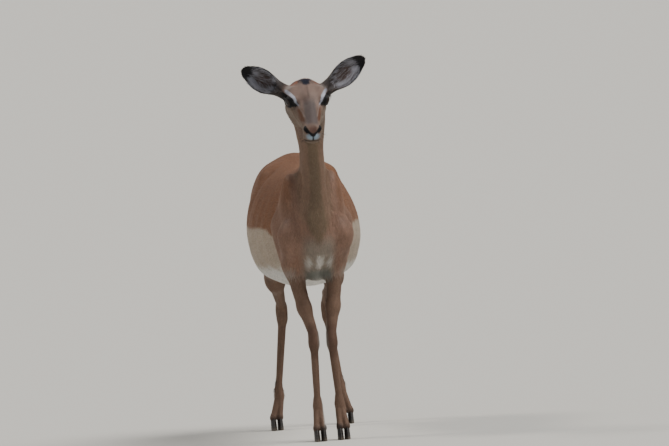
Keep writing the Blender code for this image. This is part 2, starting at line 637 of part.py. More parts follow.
def half_space(plane, grow=0.0):
    """A large box on the front and upper side of a plane, given by two (y, z) points."""
    low_point, high_point = plane
    along = Vector((0, high_point[0] - low_point[0], high_point[1] - low_point[1])).normalized()
    side = Vector((1, 0, 0))
    normal = side.cross(along)
    if normal.y > 0:
        normal.negate()
    place = (0, low_point[0], low_point[1])
    return cutter("half", place, (side, along, normal), (-0.5, -0.9, 0.0), (0.5, 0.9, 1.0), grow)


def part_flesh(whole, head):
    """{node: mesh} of the flesh."""
    found = {}
    forward, rest = split(whole, lambda grow: half_space(NECK_CUT, grow))
    skull, found["neck"] = split(forward, lambda grow: half_space(HEAD_CUT, grow))
    for name, side in (("right", -1), ("left", 1)):
        ear = ear_frame(head, side)
        found["ear_" + name], skull = split(skull, lambda grow: cutter(
            "ear", ear.place, ear.axes, (-0.06, EAR_CUT, -0.06), (0.06, EAR_LENGTH + 0.03, 0.06), grow))
    found["head"] = skull
    found["tail"], rest = split(rest, lambda grow: cutter(
        "tail", TAIL_CUT, np.eye(3), (-0.035, 0.0, -0.3), (0.035, 0.1, 0.0), grow))
    for name in ("right", "left"):
        found["hindleg_" + name], rest = split(rest, lambda grow: round_cutter(
            "haunch", HAUNCH_DISC, HAUNCH_WIDTH[name], grow))
        found["foreleg_" + name], rest = split(rest, lambda grow: round_cutter(
            "shoulder", SHOULDER_DISC, SHOULDER_WIDTH[name], grow))
    found["trunk"] = rest
    return found


# --- hooves and eyes ---

def coronet_height(y):
    """Height of the top of the horn, y behind a hoof's middle."""
    return CORONET_FRONT + (CORONET_HEEL - CORONET_FRONT) * (y / (CLAW_LENGTH * CLAW_TOP) + 0.5)


def coronet_plane(hoof, grow=0.0):
    """A cutter that takes all of a leg below the top of its horn."""
    slope = Vector((0, CLAW_LENGTH * CLAW_TOP, CORONET_HEEL - CORONET_FRONT)).normalized()
    side = Vector((1, 0, 0))
    return cutter("coronet", (*hoof, coronet_height(0.0)), (side, slope, side.cross(slope)),
                  (-0.05, -0.09, -0.12), (0.05, 0.09, 0.0), grow)


def claw_outline(share, side, shrink):
    """A point of a claw's plan: pointed in front, round at the heel, flatter on its inner side."""
    angle = share * math.tau
    forward, outward = math.cos(angle), math.sin(angle)
    taper = 1 - 0.62 * shrink * max(forward, 0) ** 2.2
    flat = 1.0 if outward > 0 else 0.82
    narrower = 0.6 + 0.4 * shrink
    return side * outward * taper * flat * CLAW_WIDTH / 2 * narrower, -forward * CLAW_LENGTH / 2 * shrink


def claw(name, hoof, side):
    """One claw of horn: a sloping front wall, a flat sole and a top that slopes down to the heel."""
    bm = bmesh.new()
    middle = hoof[0] + side * (CLAW_WIDTH + CLAW_CLEFT) / 2
    rings = []
    for rise in (0.0, 0.35, 0.75, 1.0):
        shrink, lean = 1 - (1 - CLAW_TOP) * rise ** 0.85, CLAW_LEAN * rise ** 1.15
        ring = []
        for i in range(CLAW_POINTS):
            x, y = claw_outline(i / CLAW_POINTS, side, shrink)
            top = coronet_height(y + lean)
            ring.append(bm.verts.new((middle + x, hoof[1] + y + lean, rise * top)))
        rings.append(ring)
    for lower, upper in zip(rings, rings[1:]):
        for i in range(CLAW_POINTS):
            j = (i + 1) % CLAW_POINTS
            bm.faces.new((lower[i], lower[j], upper[j], upper[i]))
    bm.faces.new(rings[0])
    bm.faces.new(rings[-1])
    bmesh.ops.recalc_face_normals(bm, faces=bm.faces)
    mesh = bpy.data.meshes.new(name)
    bm.to_mesh(mesh)
    bm.free()
    return mesh


def eyeball(head, side, radius):
    """A ball with a clear bulge in front, looking outwards and a little forward and up."""
    middle = Vector(head.to_world(side * EYE_PLACE[0], EYE_PLACE[1], EYE_PLACE[2]))
    look = Vector(np.array((side * EYE_LOOK[0], EYE_LOOK[1], EYE_LOOK[2])) @ head.axes).normalized()
    bm = bmesh.new()
    bmesh.ops.create_uvsphere(bm, u_segments=18, v_segments=10, radius=radius)
    for vert in bm.verts:
        ahead = max(vert.co.z / radius - 0.55, 0.0) / 0.45
        vert.co.z += 0.0012 * ahead
    bm.transform(Matrix.Translation(middle) @ look.to_track_quat("Z", "Y").to_matrix().to_4x4())
    mesh = bpy.data.meshes.new("eye")
    bm.to_mesh(mesh)
    bm.free()
    return mesh


# --- finish ---

def material(name, colour, roughness):
    made = bpy.data.materials.new(name)
    made.use_nodes = True
    surface = made.node_tree.nodes["Principled BSDF"]
    surface.inputs["Base Color"].default_value = (*colour, 1)
    surface.inputs["Roughness"].default_value = roughness
    surface.inputs["Metallic"].default_value = 0.0
    return made


def part_colour(name):
    if name.startswith(("fore", "hind")):
        return LEG_COLOUR
    return EAR_COLOUR if name.startswith("ear") else COLOURS[name]


def main():
    for made in list(bpy.data.objects):
        bpy.data.objects.remove(made)
    head = head_frame()
    parts = part_flesh(whole_flesh(), head)
    looks = {name: (part_colour(name), 0.75) for name in parts}
    for pair, legs in (("fore", FORELEGS), ("hind", HINDLEGS)):
        for name, (*_, hoof) in legs.items():
            leg = pair + "leg_" + name
            _, parts[leg] = split(parts[leg], lambda grow: coronet_plane(hoof, grow))
            side = -1 if name == "right" else 1
            for place, outward in (("outer", side), ("inner", -side)):
                node = f"hoof_{pair}_{name}_{place}"
                parts[node] = claw(node, hoof, outward)
                looks[node] = (HORN_COLOUR, 0.45)
    for name, side in (("right", -1), ("left", 1)):
        socket = hidden(new_object("socket", eyeball(head, side, EYE_RADIUS + GAP)))
        parts["head"] = cleaned(boolean(parts["head"], socket, "DIFFERENCE"))
        bpy.data.objects.remove(socket)
        parts["eye_" + name] = eyeball(head, side, EYE_RADIUS)
        looks["eye_" + name] = (EYE_COLOUR, 0.08)
    points = np.array([vert.co for mesh in parts.values() for vert in mesh.vertices])
    low, high = points.min(0), points.max(0)
    shift = Matrix.Translation((-(low[0] + high[0]) / 2, -(low[1] + high[1]) / 2, -low[2]))
    for name, mesh in parts.items():
        mesh.transform(shift)
        mesh.shade_smooth()
        mesh.materials.clear()
        mesh.materials.append(material(name, *looks[name]))
        mesh.name = name
        new_object(name, mesh)


main()
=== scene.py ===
"""The looks of the impala: one skin with its markings, the coat over it, eyes and hooves.

The skin is the same smooth field as the solids in the frame, meshed finely, set in by the depth of
the coat, with the folds, lids, nostrils and tendons added. The coat is made of thin closed tufts
that follow the lie of the hair, with painted shade and highlight along each. Colours come from the
animal's markings, with painted shade under the chest and inside the ears, worked out point by point
for skin and tufts alike. Metres; the animal faces -Y and its left side is +X.
"""

import math

import bpy
import numpy as np
import openvdb
from mathutils import Matrix, Vector


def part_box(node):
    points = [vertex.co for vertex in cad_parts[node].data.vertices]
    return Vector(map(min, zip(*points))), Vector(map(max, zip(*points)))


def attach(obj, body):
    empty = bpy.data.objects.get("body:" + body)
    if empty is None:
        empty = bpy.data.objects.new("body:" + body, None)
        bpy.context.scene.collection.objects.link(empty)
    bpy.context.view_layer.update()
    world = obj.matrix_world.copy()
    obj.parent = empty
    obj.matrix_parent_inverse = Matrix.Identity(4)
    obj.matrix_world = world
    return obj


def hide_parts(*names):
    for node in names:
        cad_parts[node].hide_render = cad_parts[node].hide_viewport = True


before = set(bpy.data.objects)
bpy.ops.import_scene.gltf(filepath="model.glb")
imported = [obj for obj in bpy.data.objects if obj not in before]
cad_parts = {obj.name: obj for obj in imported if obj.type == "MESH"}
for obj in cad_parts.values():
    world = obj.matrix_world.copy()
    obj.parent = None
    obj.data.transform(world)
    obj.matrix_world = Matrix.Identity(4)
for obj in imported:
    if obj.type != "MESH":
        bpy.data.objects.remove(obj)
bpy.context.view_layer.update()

FAR = 0.08                   # field value away from every form

# --- driving dimensions, the same as the solids' ---

HEAD_CENTRE = (-0.0085, -0.250, 1.064)   # middle of the line between the eyes
FACE_PITCH, FACE_YAW, FACE_ROLL = math.radians(42), math.radians(1.0), math.radians(2.0)
EYE_PLACE = (0.0505, 0.004, 0.006)
EYE_RADIUS = 0.0170
EYE_LOOK = (0.88, 0.46, 0.09)
EAR_ROOT = (0.056, -0.054, -0.011)
EAR_LENGTH, EAR_THICKNESS = 0.168, 0.0040
EAR_TIPS = ((-0.193, -0.130, 1.172), (0.184, -0.170, 1.182))   # right, left

FORELEGS = {
    "right": ((-0.071, 0.050, 0.545), (-0.028, -0.004, 0.310), (-0.030, 0.010, 0.112), (-0.031, -0.022)),
    "left": ((0.060, 0.050, 0.545), (0.0285, -0.004, 0.308), (0.038, 0.012, 0.114), (0.042, -0.020)),
}
HINDLEGS = {
    "right": ((-0.108, 0.470, 0.560), (-0.070, 0.695, 0.374), (-0.100, 0.672, 0.110), (-0.116, 0.642)),
    "left": ((0.108, 0.490, 0.552), (0.078, 0.735, 0.368), (0.101, 0.716, 0.112), (0.113, 0.688)),
}
# Trunk sections along Y: half width, top and bottom heights, and how square the section is.
TRUNK_Y = (-0.13, -0.06, 0.02, 0.12, 0.24, 0.38, 0.50, 0.60, 0.68, 0.76)
TRUNK_HALF_WIDTH = (0.060, 0.074, 0.090, 0.119, 0.156, 0.180, 0.171, 0.143, 0.111, 0.080)
TRUNK_TOP = (0.772, 0.815, 0.842, 0.845, 0.845, 0.858, 0.874, 0.878, 0.850, 0.790)
TRUNK_BOTTOM = (0.590, 0.545, 0.518, 0.502, 0.479, 0.463, 0.480, 0.532, 0.590, 0.640)
TRUNK_SQUARENESS = (2.0, 1.9, 1.8, 1.9, 2.05, 2.12, 2.12, 2.05, 2.0, 2.0)
TRUNK_CAPS = ((-0.02, 0.105), (0.605, 0.120))    # where each end starts to round off, and its length
TRUNK_ROUND, NECK_ROUND, HEAD_ROUND = 0.11, 0.04, 0.03   # how round the ends of each part are
WIDEST_AT = 0.42                                  # of the section's height
TRUNK_TAPER = 0.15                                # how much less square it is above that
TRUNK_ASIDE = -0.003                              # the barrel stands a little to the animal's right
BELLY_START = 0.2                                 # where both are in full, along Y

# Neck sections by height: front and back edges along Y, half width and sideways offset.
NECK_Z = (0.60, 0.68, 0.76, 0.84, 0.92, 1.00, 1.07, 1.12)
NECK_FRONT = (-0.098, -0.124, -0.134, -0.145, -0.163, -0.188, -0.215, -0.235)
NECK_BACK = (0.130, 0.100, 0.065, 0.022, -0.020, -0.064, -0.104, -0.135)
NECK_HALF_WIDTH = (0.066, 0.054, 0.046, 0.0410, 0.0385, 0.050, 0.053, 0.040)
NECK_OFFSET = (0.0, 0.003, 0.006, 0.006, 0.005, 0.002, -0.003, -0.007)

# Head sections along the face, from the back of the skull to the nose, in the head's frame.
HEAD_FORWARD = (-0.110, -0.075, -0.035, 0.0, 0.035, 0.070, 0.105, 0.135, 0.155)
HEAD_HALF_WIDTH = (0.040, 0.052, 0.0565, 0.0555, 0.045, 0.0345, 0.0275, 0.0265, 0.0250)
HEAD_TOP = (0.000, 0.016, 0.028, 0.034, 0.0315, 0.0270, 0.0225, 0.0195, 0.0155)
HEAD_BOTTOM = (-0.056, -0.080, -0.089, -0.083, -0.067, -0.054, -0.048, -0.046, -0.041)
HEAD_CAPS = ((-0.072, 0.040), (0.128, 0.026))
NECK_CAPS = ((0.64, 0.05), (1.075, 0.035))

TAIL_LINE = ((0.0, 0.690, 0.812), (0.0, 0.746, 0.782), (0.0, 0.770, 0.710), (0.0, 0.773, 0.610),
             (0.0, 0.768, 0.515))
TAIL_RADII = (0.028, 0.020, 0.018, 0.021, 0.008)

# Along an ear from root to tip: radius of its bowl, half the angle that it spans, and its back's place.
EAR_ALONG = (-0.02, 0.10, 0.25, 0.45, 0.65, 0.82, 0.94, 1.00)
EAR_CURL = (0.0175, 0.0185, 0.0255, 0.0350, 0.0365, 0.0315, 0.0235, 0.0160)
EAR_SPREAD = (178, 165, 118, 86, 71, 55, 42, 22)
EAR_TIP_ROUND = 0.034                             # twice the radius of its tip
EAR_SPINE = (0.000, -0.004, -0.010, -0.014, -0.013, -0.008, -0.002, 0.002)

# Claws: one of the two halves of a hoof.
CLAW_LENGTH, CLAW_WIDTH, CLAW_CLEFT = 0.056, 0.0185, 0.0030
CORONET_FRONT, CORONET_HEEL = 0.041, 0.026       # heights of the top of the horn
CORONET_BACK = 0.004                             # how far the toes stand behind a hoof's middle
CLAW_TOP = 0.70                                  # length of a claw's top, as a share of its sole
CLAW_LEAN = 0.0112                               # how far its top stands behind its sole


# --- measures: signed distances, nearly, on arrays that broadcast ---

def smooth_curve(knots, values):
    """A function that reads a smooth curve through a few values."""
    knots, values = np.array(knots, float), np.array(values, float)
    slopes = np.gradient(values, knots)
    dense = np.linspace(knots[0], knots[-1], 240)
    i = np.clip(np.searchsorted(knots, dense) - 1, 0, len(knots) - 2)
    step = knots[i + 1] - knots[i]
    t = (dense - knots[i]) / step
    found = (values[i] * (1 + 2 * t) * (1 - t) ** 2 + values[i + 1] * t * t * (3 - 2 * t)
             + step * (slopes[i] * t * (1 - t) ** 2 - slopes[i + 1] * t * t * (1 - t)))
    return lambda q: np.interp(q, dense, found)


def section(across, upward, along, half_width, half_height, cap, power):
    """Distance to a rounded section: across and upward from its middle, along from its end cap's start."""
    a, b, c = np.abs(across) / half_width, np.abs(upward) / half_height, along / cap
    total = a ** power + b ** power + c ** power + 1e-9
    slope = np.sqrt((a ** (power - 1) / half_width) ** 2 + (b ** (power - 1) / half_height) ** 2
                    + (c ** (power - 1) / cap) ** 2)
    reach = total ** (1 / power)
    return (reach - 1) / np.maximum(slope * total ** (1 / power - 1), 4.0)


def past(q, caps):
    """How far q lies past the start of the nearer end cap, as a share of that cap's length."""
    (first, first_length), (last, last_length) = caps
    return np.maximum(np.maximum((first - q) / first_length, (q - last) / last_length), 0.0)


def unit(vectors):
    return vectors / np.maximum(np.linalg.norm(vectors, axis=-1, keepdims=True), 1e-6)


def sided(side, points):
    """Points of the left side, mirrored to the right where side is -1."""
    return np.array(points, float) * (side, 1, 1)


def blend_min(a, b, k):
    h = np.maximum(k - np.abs(a - b), 0.0) / k
    return np.minimum(a, b) - h * h * k * 0.25


def blend_max(a, b, k):
    return -blend_min(-a, -b, k)


class Form:
    """One rounded form: its box, its measure and how softly it joins or carves what came before."""

    def __init__(self, low, high, measure, blend, carve=False):
        margin = blend + 0.012
        self.low = np.array(low, float) - margin
        self.high = np.array(high, float) + margin
        self.measure, self.blend, self.carve = measure, blend, carve

    def apply(self, found, values):
        if self.carve:
            return blend_max(found, -values, self.blend)
        return blend_min(found, values, self.blend)


class Crease(Form):
    """Presses the surface in along a line, or raises it where depth is negative."""

    def __init__(self, points, width, depth):
        self.points, self.width, self.depth = np.array(points, float), width, depth
        reach = width * 2.6
        super().__init__(self.points.min(0) - reach, self.points.max(0) + reach, self.pressed, 0.0)

    def pressed(self, x, y, z):
        near = np.full(np.broadcast(x, y, z).shape, np.inf)
        for start, end in zip(self.points, self.points[1:]):
            run = end - start
            dx, dy, dz = x - start[0], y - start[1], z - start[2]
            t = np.clip((dx * run[0] + dy * run[1] + dz * run[2]) / (run @ run), 0, 1)
            wide = (dx - t * run[0]) ** 2 + (dy - t * run[1]) ** 2 + (dz - t * run[2]) ** 2
            near = np.minimum(near, wide)
        return self.depth * np.exp(-near / (self.width * self.width))

    def laid_on(self, forms):
        """The same crease with its line drawn onto the surface of forms."""
        return Crease(settle(forms, self.points, 5), self.width, self.depth)

    def apply(self, found, values):
        return found + values


def limb(start, end, start_radius, end_radius, blend, flat=1.0, across=(1, 0, 0), carve=False):
    """A tapered limb with round ends. flat is its thickness along across, as a share of the rest."""
    start, end, across = np.array(start, float), np.array(end, float), np.array(across, float)
    run = end - start
    across = across - run * (across @ run) / (run @ run)
    across = across / np.linalg.norm(across)
    reach = max(start_radius, end_radius)

    def measure(x, y, z):
        dx, dy, dz = x - start[0], y - start[1], z - start[2]
        t = np.clip((dx * run[0] + dy * run[1] + dz * run[2]) / (run @ run), 0, 1)
        dx, dy, dz = dx - t * run[0], dy - t * run[1], dz - t * run[2]
        side = dx * across[0] + dy * across[1] + dz * across[2]
        stretch = 1 / (flat * flat) - 1
        radius = start_radius + (end_radius - start_radius) * t
        wide = dx * dx + dy * dy + dz * dz
        reached = np.sqrt(wide + stretch * side * side)
        share = np.sqrt(wide + 1e-12) / (reached + 1e-9)
        return (reached - radius) * np.clip(share, flat, 1)

    ends = np.array((start, end))
    return Form(ends.min(0) - reach, ends.max(0) + reach, measure, blend, carve)


def limbs(points, radii, blend, flat):
    """A chain of limbs through points."""
    pairs = zip(points, points[1:], radii, radii[1:])
    return [limb(a, b, ra, rb, blend, flat) for a, b, ra, rb in pairs]


def blob(middle, radii, blend, turn=None, carve=False):
    """An ellipsoid. turn is a 3x3 matrix whose columns are its own axes."""
    middle, radii = np.array(middle, float), np.array(radii, float)
    turn = np.eye(3) if turn is None else np.array(turn, float)

    def measure(x, y, z):
        dx, dy, dz = x - middle[0], y - middle[1], z - middle[2]
        own = [dx * turn[0, i] + dy * turn[1, i] + dz * turn[2, i] for i in range(3)]
        near = sum((p / r) ** 2 for p, r in zip(own, radii)) + 1e-9
        slope = np.sqrt(sum((p / (r * r)) ** 2 for p, r in zip(own, radii)) + 1e-9)
        near = np.sqrt(near)
        return near * (near - 1) / slope

    reach = np.abs(turn) @ radii
    return Form(middle - reach, middle + reach, measure, blend, carve)


def tilt(degrees):
    """Axes turned about X, so that a form's top leans forward, towards -Y."""
    return np.array(Matrix.Rotation(math.radians(degrees), 3, "X"))


class Frame:
    """A place with its own axes: side, forward, up."""

    def __init__(self, place, side, forward, up):
        self.place = np.array(place, float)
        self.axes = np.array((side, forward, up), float)

    def to_world(self, side, forward, up):
        return self.place + np.array((side, forward, up)) @ self.axes

    def local(self, x, y, z):
        dx, dy, dz = x - self.place[0], y - self.place[1], z - self.place[2]
        return [dx * a[0] + dy * a[1] + dz * a[2] for a in self.axes]

    def form(self, low, high, measure, blend):
        """A form measured in this frame, whose box low to high is this frame's too."""
        corners = [self.to_world(s, f, u) for s in (low[0], high[0]) for f in (low[1], high[1])
                   for u in (low[2], high[2])]
        return Form(np.min(corners, 0), np.max(corners, 0),
                    lambda x, y, z: measure(*self.local(x, y, z)), blend)

    def crease(self, points, width, depth):
        return Crease([self.to_world(*point) for point in points], width, depth)

    def blob(self, middle, radii, blend, carve=False):
        return blob(self.to_world(*middle), radii, blend, self.axes.T, carve)

    def limb(self, start, end, start_radius, end_radius, blend, carve=False):
        return limb(self.to_world(*start), self.to_world(*end), start_radius, end_radius, blend,
                    across=self.axes[0], carve=carve)


def head_frame():
    turn = (Matrix.Rotation(FACE_YAW, 3, "Z") @ Matrix.Rotation(FACE_PITCH, 3, "X")
            @ Matrix.Rotation(FACE_ROLL, 3, "Y"))
    side, forward, up = (turn @ Vector(axis) for axis in ((1, 0, 0), (0, -1, 0), (0, 0, 1)))
    return Frame(HEAD_CENTRE, side, forward, up)


# --- the animal's forms ---

def trunk_forms():
    half_width, power = smooth_curve(TRUNK_Y, TRUNK_HALF_WIDTH), smooth_curve(TRUNK_Y, TRUNK_SQUARENESS)
    top, bottom = smooth_curve(TRUNK_Y, TRUNK_TOP), smooth_curve(TRUNK_Y, TRUNK_BOTTOM)

    def barrel(x, y, z):
        high, low = top(y), bottom(y)
        middle = low + WIDEST_AT * (high - low)
        upward = z - middle
        half_height = np.where(upward > 0, high - middle, middle - low)
        behind = np.clip(y / BELLY_START, 0, 1)
        roundness = power(y) - np.where(upward > 0, TRUNK_TAPER, 0.0) * behind
        aside = x - TRUNK_ASIDE * behind
        ends = past(y, TRUNK_CAPS) * TRUNK_ROUND
        return section(aside, upward, ends, half_width(y), half_height, TRUNK_ROUND, roundness)

    forms = [Form((-0.19, -0.125, 0.45), (0.19, 0.74, 0.872), barrel, 0.02)]
    forms += [
        limb((0, -0.085, 0.635), (0, 0.045, 0.540), 0.052, 0.042, 0.045, 0.85),      # brisket
        limb((0, -0.075, 0.700), (0, -0.075, 0.600), 0.050, 0.046, 0.04),            # breast
        limb((0, 0.03, 0.818), (0, 0.14, 0.826), 0.024, 0.018, 0.05, 0.7),           # withers
        limb((0, 0.665, 0.740), (0, 0.610, 0.560), 0.052, 0.050, 0.040),             # between the thighs
    ]
    for side in (-1, 1):
        forms += [
            # shoulder blade, point of the shoulder and the muscle behind the upper arm
            blob((side * 0.066, 0.022, 0.715), (0.034, 0.072, 0.130), 0.045, tilt(24)),
            blob((side * 0.078, -0.052, 0.640), (0.034, 0.046, 0.052), 0.035),
            limb((side * 0.082, 0.075, 0.670), (side * 0.076, 0.072, 0.585), 0.046, 0.036, 0.035),
            # hip bone, croup, buttock and the fold of the flank
            blob((side * 0.082, 0.475, 0.812), (0.032, 0.050, 0.022), 0.040),
            blob((side * 0.078, 0.585, 0.730), (0.056, 0.115, 0.105), 0.045, tilt(12)),
            limb((side * 0.052, 0.684, 0.765), (side * 0.078, 0.688, 0.610), 0.040, 0.046, 0.035),
            limb((side * 0.112, 0.390, 0.548), (side * 0.096, 0.480, 0.555), 0.030, 0.036, 0.040),
        ]
    return forms


def neck_forms():
    front, back = smooth_curve(NECK_Z, NECK_FRONT), smooth_curve(NECK_Z, NECK_BACK)
    half_width, offset = smooth_curve(NECK_Z, NECK_HALF_WIDTH), smooth_curve(NECK_Z, NECK_OFFSET)

    def column(x, y, z):
        near, far = front(z), back(z)
        middle, depth = (near + far) / 2, (far - near) / 2
        ends = past(z, NECK_CAPS) * NECK_ROUND
        return section(x - offset(z), y - middle, ends, half_width(z), depth, NECK_ROUND, 2.1) * 0.9

    return [Form((-0.075, -0.24, 0.59), (0.075, 0.13, 1.11), column, 0.035)]


def head_forms(head):
    half_width = smooth_curve(HEAD_FORWARD, HEAD_HALF_WIDTH)
    top, bottom = smooth_curve(HEAD_FORWARD, HEAD_TOP), smooth_curve(HEAD_FORWARD, HEAD_BOTTOM)

    def skull(side, forward, up):
        slant = forward + 0.23 * np.minimum(up, 0.02)          # the front of the muzzle stands upright
        high, low = top(forward), bottom(forward)
        middle, depth = (high + low) / 2, (high - low) / 2
        ends = past(slant, HEAD_CAPS) * HEAD_ROUND
        return section(side, up - middle, ends, half_width(forward), depth, HEAD_ROUND, 2.25)

    forms = [head.form((-0.058, -0.115, -0.09), (0.058, 0.162, 0.05), skull, 0.03)]
    forms += [
        # forehead, bridge of the nose and chin
        head.limb((0, -0.045, 0.010), (0, 0.005, 0.020), 0.020, 0.014, 0.03),
        head.limb((0, 0.060, 0.012), (0, 0.118, 0.004), 0.0125, 0.0125, 0.012),
        head.limb((0, 0.130, -0.034), (0, 0.060, -0.041), 0.0130, 0.016, 0.015),
    ]
    for side in (-1, 1):
        eye = sided(side, EYE_PLACE)
        opening = eye + sided(side, EYE_LOOK) * (EYE_RADIUS + 0.0035)
        cheek = np.array((side * 0.048, -0.020, -0.022))
        forms += [
            # jaw, brow and cheek bone
            head.limb((side * 0.032, -0.030, -0.060), (side * 0.027, 0.020, -0.058), 0.025, 0.020, 0.025),
            head.limb((side * 0.042, -0.026, 0.020), (side * 0.043, 0.014, 0.021), 0.0120, 0.0100, 0.018),
            head.limb((side * 0.048, -0.032, 0.004), cheek, 0.013, 0.012, 0.018),
            head.limb(cheek, (side * 0.034, 0.034, -0.014), 0.011, 0.0095, 0.018),
            # lids and the opening between them
            head.blob(eye, (EYE_RADIUS + 0.0022,) * 3, 0.008),
            head.blob(opening, (0.0125, 0.0155, 0.0118), 0.0025, carve=True),
            # side of the nose, upper lip and nostril
            head.blob((side * 0.0150, 0.131, 0.003), (0.0125, 0.0165, 0.0130), 0.010),
            head.blob((side * 0.0150, 0.128, -0.025), (0.0120, 0.020, 0.0120), 0.012),
            head.limb((side * 0.0100, 0.1510, 0.000), (side * 0.0205, 0.1400, 0.009), 0.0032, 0.0042, 0.004,
                      carve=True),
        ]
    return forms


def ear_frame(head, side):
    """An ear's frame: across, outward along its length, and the way that its bowl faces."""
    root = head.to_world(*sided(side, EAR_ROOT))
    tip = np.array(EAR_TIPS[0] if side < 0 else EAR_TIPS[1])
    outward = (tip - root) / np.linalg.norm(tip - root)
    facing = np.array((side * 0.10, -1.0, -0.10))
    facing = facing - outward * (facing @ outward)
    facing = facing / np.linalg.norm(facing)
    return Frame(root, np.cross(outward, facing) * side, outward, facing)


def ear_forms(ear, thickness):
    along = [share * EAR_LENGTH for share in EAR_ALONG]
    curl, spread = smooth_curve(along, EAR_CURL), smooth_curve(along, np.radians(EAR_SPREAD))
    spine = smooth_curve(along, EAR_SPINE)

    def bowl(across, outward, facing):
        radius = curl(outward)
        height = spine(outward) + radius - facing
        reach = np.sqrt(across * across + height * height)
        angle = np.arctan2(np.abs(across), height)
        rim = (angle - spread(outward)) * np.maximum(reach, 0.004)
        wall = np.abs(reach - radius) - thickness / 2
        ends = np.maximum(outward + across * across / EAR_TIP_ROUND - EAR_LENGTH, -0.012 - outward)
        return blend_max(blend_max(wall, rim, 0.003), ends, 0.003)

    return [
        ear.form((-0.042, -0.012, -0.022), (0.042, EAR_LENGTH, 0.045), bowl, 0.005),
        ear.limb((0, -0.020, 0.004), (0, 0.018, 0.004), 0.025, 0.019, 0.016),                    # root
        ear.limb((0.002, 0.018, 0.024), (0.002, 0.060, 0.018), 0.0085, 0.0125, 0.008, carve=True),
    ]


def foreleg_forms(side, elbow, knee, fetlock, hoof):
    elbow, knee, fetlock = (np.array(joint) for joint in (elbow, knee, fetlock))
    shoulder = np.array((side * 0.080, -0.050, 0.640))
    back = np.array((0, 1, 0))
    return [
        # upper arm and forearm
        limb(shoulder, elbow, 0.040, 0.036, 0.03, 0.85),
        limb(elbow + (0, -0.012, 0), elbow * 0.45 + knee * 0.55, 0.036, 0.0235, 0.025, 0.80),
        limb(elbow + (0, 0.016, 0.006), elbow * 0.6 + knee * 0.4 + back * 0.008, 0.020, 0.016, 0.02, 0.85),
        limb(elbow * 0.45 + knee * 0.55, knee + (0, 0.002, 0.028), 0.0235, 0.0180, 0.02, 0.88),
        # knee
        blob(knee + (0, -0.003, 0), (0.0180, 0.0205, 0.027), 0.014),
        blob(knee + (0, 0.015, 0.006), (0.0095, 0.0095, 0.014), 0.010),
        # cannon bone and the tendons behind it
        limb(knee + (0, 0.002, -0.018), fetlock + (0, 0, 0.02), 0.0145, 0.0118, 0.014, 0.84),
        limb(knee + (0, 0.012, -0.020), fetlock + (0, 0.010, 0.02), 0.0095, 0.0080, 0.012, 0.85),
    ] + foot_forms(fetlock, hoof)


def hindleg_forms(side, stifle, hock, fetlock, hoof):
    stifle, hock, fetlock = (np.array(joint) for joint in (stifle, hock, fetlock))
    hip = np.array((side * 0.080, 0.600, 0.720))
    buttock = np.array((side * 0.074, 0.694, 0.660))
    calf = stifle * 0.58 + hock * 0.42
    heel = hock + (0, 0.036, 0.022)
    return [
        # thigh, hamstrings and what lies between them
        limb(hip, stifle, 0.076, 0.046, 0.035, 0.72),
        limb(hip + (0, -0.075, -0.01), stifle + (0, -0.010, 0.02), 0.050, 0.038, 0.035, 0.70),
        limb(buttock, calf + (0, 0.024, 0.012), 0.058, 0.036, 0.035, 0.74),
        blob((hip + stifle + buttock + calf) / 4, (0.046, 0.085, 0.100), 0.035),
        # gaskin
        limb(stifle, calf, 0.044, 0.034, 0.03, 0.76),
        limb(calf, hock + (0, -0.008, 0.020), 0.033, 0.0185, 0.025, 0.76),
        # Achilles tendon, the web of skin before it and the heel bone
        limb(calf + (0, 0.040, 0.006), heel + (0, 0, 0.030), 0.020, 0.0085, 0.018, 0.75),
        limb(calf + (0, 0.020, 0.0), hock + (0, 0.014, 0.030), 0.020, 0.0130, 0.020, 0.50),
        limb(heel + (0, 0, 0.030), heel, 0.0085, 0.0125, 0.010, 0.85),
        limb(heel, hock + (0, 0.012, -0.030), 0.0125, 0.0120, 0.012, 0.85),
        # hock, cannon bone and tendons
        blob(hock + (0, 0.002, -0.004), (0.0192, 0.0240, 0.036), 0.016, tilt(-20)),
        limb(hock + (0, 0.002, -0.030), fetlock + (0, -0.001, 0.02), 0.0155, 0.0118, 0.014, 0.84),
        limb(hock + (0, 0.014, -0.034), fetlock + (0, 0.010, 0.02), 0.0100, 0.0082, 0.012, 0.85),
    ] + foot_forms(fetlock, hoof)


def foot_forms(fetlock, hoof):
    """A fetlock and the two toes below it, down into the hoof."""
    coronet = np.array((hoof[0], hoof[1] + CORONET_BACK, CORONET_FRONT))
    forms = [
        blob(fetlock + (0, 0.001, 0.002), (0.0142, 0.0175, 0.0195), 0.012),
        blob(fetlock + (0, 0.013, -0.004), (0.0120, 0.0085, 0.0120), 0.008),
    ]
    for side in (-1, 1):
        apart = np.array((side * (CLAW_WIDTH + CLAW_CLEFT) / 2, 0, 0))
        forms += [
            limb(fetlock + apart * 0.45 + (0, 0, -0.006), coronet + apart, 0.0128, 0.0112, 0.008, 0.80),
            limb(coronet + apart, coronet + apart + (0, 0.0165, -0.008), 0.0105, 0.0105, 0.008, 0.86),
        ]
    return forms


def tail_forms():
    """The tail head flows out of the rump; the rest hangs free."""
    root = limbs(TAIL_LINE[:2], TAIL_RADII[:2], 0.028, 0.95)
    return root + limbs(TAIL_LINE[1:], TAIL_RADII[1:], 0.006, 0.95)


# --- details that only the skin has ---

